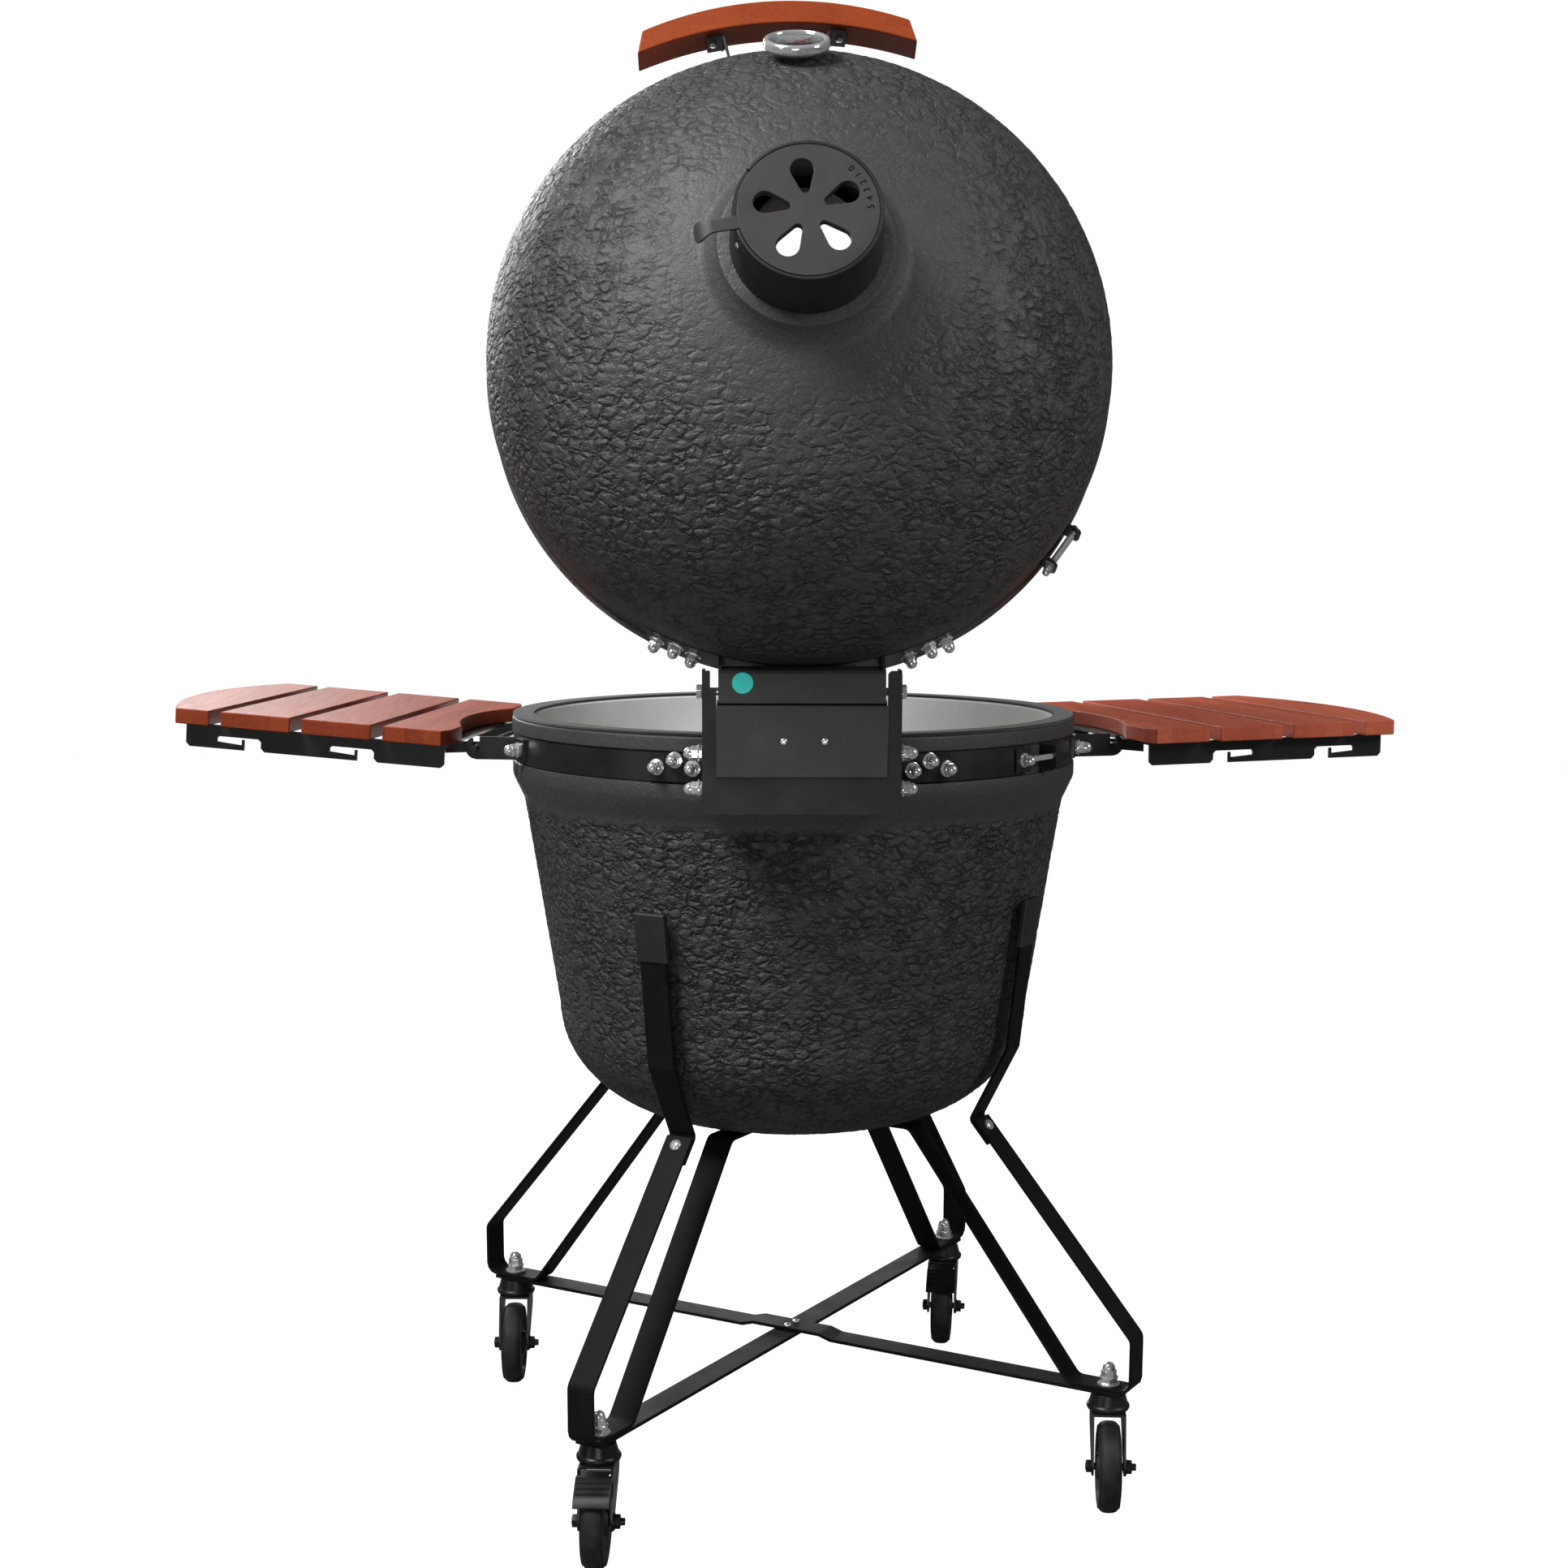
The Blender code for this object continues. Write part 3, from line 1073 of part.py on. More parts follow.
# --- The grill --------------------------------------------------------------------------------------------
def main():
    clear_scene()
    finishes = {
        "glaze": make_material("charcoal_glaze", (0.035, 0.035, 0.037), 0.45),
        "firebrick": make_material("bisque_ceramic", (0.62, 0.60, 0.56), 0.85),
        "felt": make_material("gasket_felt", (0.05, 0.05, 0.055), 0.95),
        "black": make_material("black_powder_coat", (0.012, 0.012, 0.013), 0.45, 0.2),
        "black_zinc": make_material("black_zinc", (0.012, 0.012, 0.013), 0.35, 0.6),
        "vent": make_material("cast_iron", (0.025, 0.025, 0.026), 0.55, 0.5),
        "iron": make_material("grate_iron", (0.03, 0.03, 0.03), 0.7, 0.6),
        "steel": make_material("stainless_steel", (0.62, 0.62, 0.63), 0.30, 1.0),
        "chrome": make_material("chrome", (0.80, 0.80, 0.82), 0.12, 1.0),
        "wood": make_material("stained_bamboo", (0.42, 0.09, 0.025), 0.38),
        "rubber": make_material("wheel_rubber", (0.015, 0.015, 0.016), 0.75),
        "red": make_material("needle_red", (0.55, 0.02, 0.02), 0.4),
    }
    lid = make_axis("lid_frame", (0, HINGE_Y, HINGE_Z), (-LID_OPEN, 0, 0))
    # Lid pieces are drawn where they lie with the lid shut, so this frame takes the hinge's place back out.
    lid_pieces = make_axis("lid_pieces", (0, -HINGE_Y, -HINGE_Z), parent=lid)

    make_bowl(finishes)
    make_gasket("bowl_gasket", RIM_HEIGHT + GAP, RIM_RADIUS, finishes)
    make_firebox(finishes)
    make_grates(finishes)
    make_draft_door(finishes)
    seat_low = RIM_HEIGHT - LIP_HEIGHT - SEAT_WIDTH
    bowl_band = make_band("bowl_band", seat_low, RIM_RADIUS - SEAT_DEPTH, BOWL_CLAMP, finishes)
    lid_band = make_lid(finishes, lid_pieces)
    make_base_bracket(bowl_band, finishes)
    make_lid_bracket(lid_band, finishes, lid_pieces)
    make_hinge_fittings(finishes)
    make_vent(finishes, lid_pieces)
    make_thermometer(finishes, lid_pieces)
    make_handle(finishes, lid_pieces, lid_band)
    for name, (side, turn, tilt) in SHELVES.items():
        make_shelf(name, side, turn, tilt, bowl_band, finishes)
    for name, (direction, trail) in LEGS.items():
        make_leg(name, direction, finishes)
        make_caster(name, direction, trail, finishes)
    make_cross_bars(finishes)
    make_cradle_ring(finishes)


main()
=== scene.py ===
# %% [markdown]
# # A kamado grill, finished in Blender
# A kamado is an egg of thick glazed ceramic that cooks over charcoal. Here its lid stands open, and we look at
# it from the hinge side. The solid model comes first, as a fixed frame: it says where each piece is and what
# moves with what. This lesson gives every piece its real edges, its skin and its finish.

# %% Load the frame
import math

import bmesh
import bpy
from mathutils import Matrix, Vector, noise


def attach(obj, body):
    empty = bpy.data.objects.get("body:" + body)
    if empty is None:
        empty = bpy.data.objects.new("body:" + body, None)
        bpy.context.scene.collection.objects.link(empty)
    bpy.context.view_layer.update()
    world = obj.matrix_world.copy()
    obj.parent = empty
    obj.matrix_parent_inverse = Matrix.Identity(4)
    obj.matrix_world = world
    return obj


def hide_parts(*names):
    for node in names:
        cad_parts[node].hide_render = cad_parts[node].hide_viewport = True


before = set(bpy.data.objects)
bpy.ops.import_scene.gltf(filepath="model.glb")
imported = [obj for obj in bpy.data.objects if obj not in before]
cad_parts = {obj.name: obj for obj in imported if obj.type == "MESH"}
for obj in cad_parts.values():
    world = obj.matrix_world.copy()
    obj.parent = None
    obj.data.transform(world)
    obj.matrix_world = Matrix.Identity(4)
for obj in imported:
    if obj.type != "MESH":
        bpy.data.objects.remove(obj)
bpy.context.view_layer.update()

# %% [markdown]
# ## The sizes that the pieces share
# The frame's own measures, in metres. The lid is drawn shut, where its rings are level, and then swung back
# about the hinge pin, so one matrix opens every piece of it.

# %% Sizes
GAP = 0.0003
RIM_HEIGHT, RIM_RADIUS, WALL = 0.857, 0.317, 0.026
LIP_HEIGHT, SEAT_DEPTH, SEAT_WIDTH, COLLAR_HEIGHT = 0.016, 0.0045, 0.0325, 0.019
SHOULDER_RADIUS, SHOULDER_DROP = 0.3045, 0.0925
WAIST_RADIUS, WAIST_HEIGHT, FOOT_RADIUS, BOWL_BOTTOM = 0.268, 0.5295, 0.110, 0.399
FELT = 0.003
LID_RIM = RIM_HEIGHT + 2 * FELT + 3 * GAP
LID_RADIUS, LID_RIM_RADIUS, LID_WIDEST = 0.3168, 0.3170, 0.0505
DOME_HEIGHT, DOME_POWER = 0.248, 2.15
LID_OPEN = math.radians(68.2)
HINGE = Vector((0, 0.343, 0.906))
CHIMNEY_HOLE, NECK_RADIUS, NECK_HEIGHT = 0.056, 0.0835, 0.0185
BAND_WIDTH, BAND_THICKNESS, SHEET = 0.031, 0.0025, 0.003
PLATE_HALF, PLATE_Y = 0.0985, 0.367
FOOT_HEIGHT, CASTER_RADIUS, CASTER_TRAIL = 0.1348, 0.4035, 0.029
WHEEL_RADIUS, WHEEL_WIDTH = 0.050, 0.028

OPEN = Matrix.Translation(HINGE) @ Matrix.Rotation(-LID_OPEN, 4, "X") @ Matrix.Translation(-HINGE)
STANDING = Matrix.Identity(4)
TURN = math.radians(13.77)
LEGS = {
    "near_left": (math.radians(45) + TURN, math.radians(4)),
    "near_right": (math.radians(135) + TURN, math.radians(5)),
    "far_left": (math.radians(-45) + TURN, math.radians(1)),
    "far_right": (math.radians(-135) + TURN, math.radians(8)),
}
print("the lid is open by", round(math.degrees(LID_OPEN), 1), "degrees")


# %% [markdown]
# ## Shader maths as plain sums
# A shader is a graph of nodes. Writing it as sums keeps it readable, so a small class wraps a socket and turns
# `a * 2 + b` into Math nodes. Every other node comes from one method, which sets the node's own settings before
# its sockets.

# %% The socket class and the finish class
class Value:
    """An output socket that adds and multiplies like a number."""

    def __init__(self, finish, socket):
        self.finish, self.socket = finish, socket

    def maths(self, operation, first, second=0.0):
        return self.finish.node("ShaderNodeMath", {"operation": operation}, {0: first, 1: second})

    def __add__(self, other):
        return self.maths("ADD", self, other)

    def __radd__(self, other):
        return self.maths("ADD", other, self)

    def __sub__(self, other):
        return self.maths("SUBTRACT", self, other)

    def __rsub__(self, other):
        return self.maths("SUBTRACT", other, self)

    def __mul__(self, other):
        return self.maths("MULTIPLY", self, other)

    def __rmul__(self, other):
        return self.maths("MULTIPLY", other, self)

    def __gt__(self, other):
        return self.maths("GREATER_THAN", self, other)

    def floor(self):
        return self.maths("FLOOR", self)

    def span(self, low, high, to_low=0.0, to_high=1.0):
        """The value stretched from one range to another, and held inside it."""
        return self.finish.node(
            "ShaderNodeMapRange", {"clamp": True}, {0: self, 1: low, 2: high, 3: to_low, 4: to_high}
        )


class Finish:
    """A material on the Principled shader. Constants go straight on its sockets."""

    def __init__(self, name, **constants):
        self.material = bpy.data.materials.new(name)
        self.material.use_nodes = True
        self.tree = self.material.node_tree
        self.shader = self.tree.nodes["Principled BSDF"]
        for key, value in constants.items():
            self.shader.inputs[key.replace("_", " ")].default_value = value

    def node(self, kind, settings, inputs, output=0):
        made = self.tree.nodes.new(kind)
        for key, value in settings.items():
            setattr(made, key, value)
        for key, value in inputs.items():
            if isinstance(value, Value):
                self.tree.links.new(value.socket, made.inputs[key])
            else:
                made.inputs[key].default_value = value
        return Value(self, made.outputs[output])

    def place(self, scale=(1, 1, 1), turn=0.0):
        """Object coordinates, turned about +Z and stretched."""
        where = self.node("ShaderNodeTexCoord", {}, {}, "Object")
        return self.node("ShaderNodeMapping", {}, {"Vector": where, "Rotation": (0, 0, turn), "Scale": scale})

    def noise(self, scale, detail=2.0, rough=0.5, where=None):
        inputs = {"Vector": where or self.place(), "Scale": scale, "Detail": detail, "Roughness": rough}
        return self.node("ShaderNodeTexNoise", {}, inputs)

    def mix(self, share, first, second):
        return self.node("ShaderNodeMix", {"data_type": "RGBA"}, {0: share, 6: first, 7: second}, 2)

    def bump(self, height, distance, strength=1.0, under=None):
        inputs = {"Height": height, "Distance": distance, "Strength": strength}
        if under:
            inputs["Normal"] = under
        return self.node("ShaderNodeBump", {}, inputs)

    def feed(self, **links):
        for key, value in links.items():
            self.tree.links.new(value.socket, self.shader.inputs[key.replace("_", " ")])
        return self.material


def colour(red, green, blue):
    return (red, green, blue, 1.0)


# %% [markdown]
# ## The finishes
# Each real surface gets the detail that it shows at arm's length: mica specks and dimples in the glaze, the
# orange peel of powder coat, the fibres of felt, strips and pores in stained wood, and scuffs on rubber.

# %% Glazed ceramic
def glaze_finish(name, crease_shade, crest, relief):
    """Matt charcoal glaze over a pebbled skin, with painted shade darkening its creases. The pebbled attribute is 1 on
    the skin and 0 on smooth clay.
    """
    made = Finish(name, Specular_IOR_Level=0.40)
    pebbled = made.node("ShaderNodeAttribute", {"attribute_name": "pebbled"}, {}, "Fac")
    where = made.place((68, 68, 98))
    bend = made.node("ShaderNodeTexNoise", {}, {"Vector": where, "Scale": 0.85, "Detail": 3.0, "Roughness": 0.6}, "Color")
    bent = made.node("ShaderNodeVectorMath", {"operation": "MULTIPLY_ADD"}, {0: bend, 1: (1.15, 1.15, 1.15), 2: where})
    edge = made.node("ShaderNodeTexVoronoi", {"feature": "DISTANCE_TO_EDGE"}, {"Vector": bent, "Scale": 1.0}, "Distance")
    crease = (1 - edge.span(0.0, 0.30)) * made.noise(46, 2).span(0.36, 0.58, 0.25, 1.0) * pebbled
    cloud = made.noise(9, 3)
    specks = made.noise(1200, 1).span(0.63, 0.70)
    pits = made.noise(620, 2)
    # Painted shade: the creases take a darker colour than the crests, on top of their real bump.
    body = made.mix(crease * 0.85, colour(*crest), colour(*crease_shade))
    body = made.mix(cloud.span(0.35, 0.7) * 0.20, body, colour(*[c * 1.2 for c in crest]))
    body = made.mix(specks * 0.5, body, colour(0.24, 0.24, 0.24))
    rough = 0.50 + cloud * 0.12 - specks * 0.15
    skin = made.bump(made.noise(180, 2) * pebbled * 0.35 - crease, relief, 1.0)
    coarse = made.bump(made.noise(240, 3), 0.0007, 0.5, skin)
    return made.feed(Base_Color=body, Roughness=rough, Normal=made.bump(pits, 0.00045, 0.8, coarse))


# Both glazes paint shade into their creases. The bowl's glaze is the lid's made darker: painted shade for the lower
# half of the egg, which the lamps above reach less.
LID_GLAZE = glaze_finish("charcoal_glaze_lid", (0.014, 0.014, 0.0145), (0.046, 0.046, 0.047), 0.0032)
BOWL_GLAZE = glaze_finish("charcoal_glaze_bowl", (0.006, 0.006, 0.0063), (0.038, 0.038, 0.039), 0.0044)


# %% Bare ceramic, felt and rubber
def bisque_finish():
    made = Finish("bisque_ceramic", Specular_IOR_Level=0.3)
    cloud, grain = made.noise(14, 4), made.noise(420, 2)
    body = made.mix(cloud.span(0.3, 0.75), colour(0.50, 0.50, 0.49), colour(0.62, 0.615, 0.60))
    body = made.mix(grain.span(0.60, 0.72) * 0.4, body, colour(0.30, 0.29, 0.28))
    return made.feed(Base_Color=body, Roughness=cloud.span(0, 1, 0.7, 0.9), Normal=made.bump(grain, 0.0005, 0.6))


def felt_finish():
    made = Finish("gasket_felt", Specular_IOR_Level=0.15, Sheen_Weight=0.35, Sheen_Roughness=0.5)
    fibres = made.noise(900, 4, 0.7)
    body = made.mix(fibres.span(0.3, 0.7), colour(0.009, 0.009, 0.0095), colour(0.036, 0.036, 0.038))
    return made.feed(Base_Color=body, Roughness=fibres.span(0, 1, 0.85, 1.0), Normal=made.bump(fibres, 0.0008, 0.9))


def rubber_finish():
    made = Finish("wheel_rubber", Specular_IOR_Level=0.35)
    dust, scuff = made.noise(45, 4), made.noise(260, 5, 0.7)
    body = made.mix(dust.span(0.45, 0.75) * 0.6, colour(0.009, 0.009, 0.0095), colour(0.045, 0.043, 0.040))
    body = made.mix(scuff.span(0.62, 0.74) * 0.5, body, colour(0.075, 0.072, 0.068))
    return made.feed(Base_Color=body, Roughness=dust.span(0.3, 0.7, 0.48, 0.72), Normal=made.bump(scuff, 0.0004, 0.5))


BISQUE, FELT_FINISH, RUBBER = bisque_finish(), felt_finish(), rubber_finish()


# %% Metals and coatings
def coat_finish(name, dark, light, low_rough, high_rough, peel, metallic=0.0, shine=0.5):
    """Powder coat or cast iron: a fine peel, and a little unevenness in its gloss."""
    made = Finish(name, Metallic=metallic, Specular_IOR_Level=shine)
    cloud, grain = made.noise(28, 4), made.noise(1100, 2)
    body = made.mix(cloud.span(0.3, 0.75), colour(*[dark] * 3), colour(*[light] * 3))
    body = made.mix(made.noise(330, 5, 0.7).span(0.66, 0.75) * 0.35, body, colour(0.08, 0.08, 0.08))
    rough = cloud.span(0.3, 0.7, low_rough, high_rough)
    return made.feed(Base_Color=body, Roughness=rough, Normal=made.bump(grain, peel, 0.6))


def plated_finish(name, shade, low_rough, high_rough, stretch=(1, 1, 1)):
    """Bare or plated metal, with faint brushed streaks where it is stretched."""
    made = Finish(name, Metallic=0.74)
    where = made.place(stretch)
    cloud, streak = made.noise(60, 3), made.noise(500, 3, 0.6, where)
    body = made.mix(cloud.span(0.3, 0.7), colour(*[shade * 0.82] * 3), colour(*[shade] * 2, shade * 1.02))
    return made.feed(
        Base_Color=body, Roughness=streak.span(0.3, 0.7, low_rough, high_rough), Normal=made.bump(streak, 0.00008, 0.4)
    )


POWDER = coat_finish("black_powder_coat", 0.0070, 0.0115, 0.34, 0.46, 0.00012)
CART_COAT = coat_finish("cart_powder_coat", 0.0050, 0.0085, 0.50, 0.62, 0.00012, 0.0, 0.10)
ZINC = coat_finish("black_zinc", 0.008, 0.014, 0.26, 0.42, 0.00008, 0.3)
CAST = coat_finish("vent_cast_iron", 0.0060, 0.0100, 0.46, 0.60, 0.00025)
# Painted light: the dial's iron is the collar's cast iron made about three times lighter, for the light that the dial's
# upturned face catches from above.
DIAL_IRON_PAINTED_LIGHT = coat_finish("vent_dial_iron_painted_light", 0.025, 0.033, 0.50, 0.62, 0.00015)
HINGE_COAT = coat_finish("hinge_powder_coat", 0.008, 0.012, 0.38, 0.50, 0.00012, 0.0, 0.28)
# Painted sheen: the hinge cover and the lid's hinge plate use the black powder coat made two to three times lighter,
# for the sheen that their upright faces catch.
COVER_PAINTED_SHEEN = coat_finish("hinge_cover_painted_sheen", 0.020, 0.028, 0.38, 0.50, 0.00012, 0.0, 0.40)
GRATE = coat_finish("grate_iron", 0.016, 0.032, 0.55, 0.75, 0.00045, 0.4)
CHROME = plated_finish("chrome_plate", 0.90, 0.07, 0.20)
STEEL = plated_finish("stainless_steel", 0.60, 0.20, 0.36, (1, 12, 1))


# %% Stained wood
def wood_finish(name, dark, light, turn, strip):
    """Stained hardwood: strips glued side by side, each a slightly different tone, with long thin fibres."""
    made = Finish(name, Coat_Weight=0.03, Coat_Roughness=0.40, Specular_IOR_Level=0.14)
    across = made.place((1, 1, 1), turn)
    split = made.node("ShaderNodeSeparateXYZ", {}, {0: across}, 0)
    tone = made.node("ShaderNodeTexWhiteNoise", {"noise_dimensions": "1D"}, {"W": (split * (1 / strip)).floor()})
    fibres = made.noise(260, 5, 0.62, made.place((1, 0.045, 1), turn))
    pores = made.noise(900, 2, 0.5, made.place((1, 0.05, 1), turn)).span(0.60, 0.70)
    wave = made.noise(26, 3, 0.5, made.place((1, 0.12, 1), turn))
    share = tone * 0.42 + fibres.span(0.3, 0.7) * 0.36 + wave.span(0.3, 0.7) * 0.26
    body = made.mix(share, colour(*dark), colour(*light))
    body = made.mix(pores * 0.55, body, colour(*[c * 0.45 for c in dark]))
    return made.feed(
        Base_Color=body, Roughness=fibres.span(0.2, 0.8, 0.60, 0.48), Normal=made.bump(fibres - pores * 0.5, 0.00025, 0.5)
    )


SHELVES = {"left": (1, math.radians(7.5), math.radians(4.2)), "right": (-1, math.radians(15), math.radians(0.8))}
HANDLE_WOOD = wood_finish("handle_wood", (0.17, 0.022, 0.005), (0.32, 0.056, 0.012), math.radians(90), 0.012)
# Painted light: the right shelf's wood is the same stain made about twice as light, to make up for the shadow that the
# open lid throws on it.
SHELF_WOOD = {
    "left": wood_finish("shelf_wood_left", (0.17, 0.024, 0.008), (0.33, 0.060, 0.021), math.radians(7.5), 0.021),
    "right": wood_finish("shelf_wood_right_painted_light", (0.42, 0.070, 0.030), (0.68, 0.170, 0.092), math.radians(-15), 0.021),
}


# %% Small finishes
def plain_finish(name, shade, low_rough, high_rough, **constants):
    """Print, enamel or plastic: one colour, with a little mottle in its tone and gloss."""
    made = Finish(name, **constants)
    mottle = made.noise(140, 3)
    body = made.mix(mottle.span(0.3, 0.7), colour(*[c * 0.88 for c in shade]), colour(*shade))
    return made.feed(
        Base_Color=body, Roughness=mottle.span(0.3, 0.7, low_rough, high_rough), Normal=made.bump(mottle, 0.0001, 0.3)
    )


STICKER = plain_finish("teal_sticker", (0.010, 0.66, 0.57), 0.35, 0.5)
# Painted shade: the figures are near-black and matt, standing for the shadow inside engraved figures.
ENGRAVING_SHADE = plain_finish("engraved_figures_painted_shade", (0.004, 0.004, 0.004), 0.9, 1.0, Specular_IOR_Level=0.05)
GAUGE_FACE = plain_finish("gauge_face", (0.55, 0.56, 0.57), 0.35, 0.5)
GAUGE_PRINT = plain_finish("gauge_print", (0.02, 0.02, 0.02), 0.5, 0.6)
NEEDLE_RED = plain_finish("needle_red", (0.50, 0.02, 0.015), 0.35, 0.5)
GLASS = plain_finish("gauge_glass", (0.95, 0.97, 0.97), 0.02, 0.05, Transmission_Weight=1.0, IOR=1.45)
PAD_PLASTIC = coat_finish("strap_pad_plastic", 0.010, 0.016, 0.42, 0.55, 0.00020)
print(len(bpy.data.materials), "materials")


# %% [markdown]
# ## Ways of making a shape
# Most of a kamado is turned, like a pot on a wheel, so `turned` spins a profile about the upright axis. Its
# steel is flat bar, bent and cut, so `plate` raises an outline. `settle` then puts a mesh in place as a piece.

# %% Turned, plated and stamped shapes
def turned(profile, steps=160, start=0.0, sweep=2 * math.pi, closed=True):
    """Spins (radius, height) points about +Z. A part turn is closed with flat ends."""
    shape = bmesh.new()
    cosine, sine = math.cos(start), math.sin(start)
    points = [shape.verts.new((r * cosine, r * sine, z)) for r, z in profile]
    pairs = list(zip(points, points[1:])) + ([(points[-1], points[0])] if closed else [])
    edges = [shape.edges.new(pair) for pair in pairs]
    whole = abs(sweep - 2 * math.pi) < 1e-6
    ends = [] if whole else [shape.faces.new(points)]
    bmesh.ops.spin(
        shape,
        geom=points + edges + ends,
        cent=(0, 0, 0),
        axis=(0, 0, 1),
        angle=sweep,
        steps=steps,
        use_merge=whole,
    )
    bmesh.ops.remove_doubles(shape, verts=shape.verts, dist=1e-6)
    bmesh.ops.recalc_face_normals(shape, faces=shape.faces)
    return shape


def soften(shape, width, segments=2, angle=30):
    """Rounds every edge that is sharper than the angle."""
    edges = [e for e in shape.edges if len(e.link_faces) == 2 and e.calc_face_angle(0) > math.radians(angle)]
    bmesh.ops.bevel(
        shape, geom=edges, offset=width, segments=segments, profile=0.5, affect="EDGES", material=-1, clamp_overlap=True
    )
    return shape


def plate(outline, low, high, edge=0.0, segments=2):
    """Raises an outline in X and Y from one height to another, with its edges rounded."""
    shape = bmesh.new()
    floor = shape.faces.new([shape.verts.new((x, y, low)) for x, y in outline])
    raised = bmesh.ops.extrude_face_region(shape, geom=[floor])["geom"]
    top = [item for item in raised if isinstance(item, bmesh.types.BMVert)]
    bmesh.ops.translate(shape, verts=top, vec=(0, 0, high - low))
    bmesh.ops.recalc_face_normals(shape, faces=shape.faces)
    return soften(shape, edge, segments) if edge else shape


def block(low, high, edge=0.0, segments=2):
    (x0, y0, z0), (x1, y1, z1) = low, high
    return plate([(x0, y0), (x1, y0), (x1, y1), (x0, y1)], z0, z1, edge, segments)


def rod(start, end, radius, sides=24, edge=0.0):
    shape = bmesh.new()
    start, end = Vector(start), Vector(end)
    bmesh.ops.create_cone(
        shape, cap_ends=True, segments=sides, radius1=radius, radius2=radius, depth=(end - start).length
    )
    if edge:
        soften(shape, edge, 2, 60)
    bmesh.ops.transform(shape, matrix=Matrix.Translation((start + end) / 2) @ facing(end - start), verts=shape.verts)
    return shape


def facing(direction):
    """The turn that takes +Z to a direction."""
    return Vector((0, 0, 1)).rotation_difference(Vector(direction)).to_matrix().to_4x4()


def stamp(target, source, matrix=STANDING):
    """Adds a copy of one shape to another, at a place."""
    copy = bpy.data.meshes.new("copy")
    source.to_mesh(copy)
    copy.transform(matrix)
    target.from_mesh(copy)
    bpy.data.meshes.remove(copy)
    return target


def arc(centre, radius, first, last, steps):
    turns = (first + (last - first) * i / steps for i in range(steps + 1))
    return [(centre[0] + radius * math.cos(t), centre[1] + radius * math.sin(t)) for t in turns]


# %% Settling a shape as a piece
def settle(name, shape, finish, body, stands_for=(), matrix=STANDING, sharp=35, level=True):
    """Makes a named piece, in place, that rides on its body and stands for its CAD nodes."""
    bmesh.ops.transform(shape, matrix=matrix, verts=shape.verts)
    mesh = bpy.data.meshes.new(name)
    shape.to_mesh(mesh)
    shape.free()
    for material in finish if isinstance(finish, list) else [finish]:
        mesh.materials.append(material)
    mesh.shade_smooth()
    mesh.set_sharp_from_angle(angle=math.radians(sharp))
    piece = bpy.data.objects.new(name, mesh)
    bpy.context.scene.collection.objects.link(piece)
    if level:
        flats = piece.modifiers.new("level_flats", "WEIGHTED_NORMAL")
        flats.mode, flats.weight, flats.keep_sharp = "FACE_AREA", 60, True
    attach(piece, body)
    if stands_for:
        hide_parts(*stands_for)
    return piece


def carve(piece, cutters, solver="EXACT"):
    """Cuts shapes out of a piece, and keeps the result as its mesh."""
    helpers = []
    for i, cutter in enumerate(cutters):
        mesh = bpy.data.meshes.new(f"cutter_{i}")
        cutter.to_mesh(mesh)
        cutter.free()
        helper = bpy.data.objects.new(mesh.name, mesh)
        bpy.context.scene.collection.objects.link(helper)
        change = piece.modifiers.new(mesh.name, "BOOLEAN")
        change.operation, change.object, change.solver = "DIFFERENCE", helper, solver
        helpers.append(helper)
    bpy.context.view_layer.update()
    cut = bpy.data.meshes.new_from_object(piece.evaluated_get(bpy.context.evaluated_depsgraph_get()))
    piece.modifiers.clear()
    piece.data = cut
    for helper in helpers:
        bpy.data.objects.remove(helper)
    return piece


# %% [markdown]
# ## The ceramic skin
# The glaze is poured over clay that was pressed with a pebbled skin, like lizard leather: low bumps about a
# centimetre long, with creases between them. It has depth that shows on the outline, so it is modelled, not
# only shaded. The walls are spun in small squares, and each point is then moved in along its normal by a
# Voronoi pattern that a noise has bent. The creases run level round the pot.

# %% Pebbled relief
noise.seed_set(5)  # the vector noise takes its offsets from the seed, so each run gets the same skin


def pebbles(point):
    """0 in a crease to 1 on a bump, at a point of the skin."""
    bend = noise.noise_vector(point * 70) * 0.42 + noise.noise_vector(point * 190) * 0.16
    squeezed = Vector((point.x * 88, point.y * 88, point.z * 138)) + bend
    near, next_near = noise.voronoi(squeezed)[0][:2]
    bump = min(1.0, (next_near - near) * 2.1)
    closing = 0.5 + 0.5 * noise.noise(point * 46)
    swell = 0.5 + 0.5 * noise.noise(Vector((point.x * 150, point.y * 150, point.z * 240)))
    crease = (1 - bump) ** 1.6 * min(1.0, 0.35 + closing * 0.9)
    return max(0.0, min(1.0, 1.0 - crease * 0.85 - (1 - swell) * 0.32))


def emboss(shape, strength, depth=0.0013):
    """Moves the points of a skin inward by the pebbles, and keeps how pebbled each point is as an attribute."""
    layer = shape.verts.layers.float.new("pebbled")
    moved = 0
    shape.normal_update()
    for vert in shape.verts:
        share = strength(vert)
        if share > 0:
            vert.co -= vert.normal * (1 - pebbles(vert.co)) * depth * share
            moved += 1
        vert[layer] = max(0.0, share)
    print(moved, "points pebbled of", len(shape.verts))


def even(outline, pitch):
    """The same line with points no further apart than the pitch."""
    points = [outline[0]]
    for start, end in zip(outline, outline[1:]):
        count = max(1, round(math.dist(start, end) / pitch))
        points += [tuple(a + (b - a) * i / count for a, b in zip(start, end)) for i in range(1, count + 1)]
    return points


def ramp(value, low, high):
    return max(0.0, min(1.0, (value - low) / (high - low)))


# %% The bowl
def bowl_outline(inset, steps):
    depth = WAIST_HEIGHT - BOWL_BOTTOM - inset
    spread = WAIST_RADIUS - FOOT_RADIUS - inset * 0.6
    foot = FOOT_RADIUS - inset * 0.4
    turns = (math.pi / 2 * i / steps for i in range(steps + 1))
    return [(foot + spread * math.cos(t), WAIST_HEIGHT - depth * math.sin(t)) for t in turns]


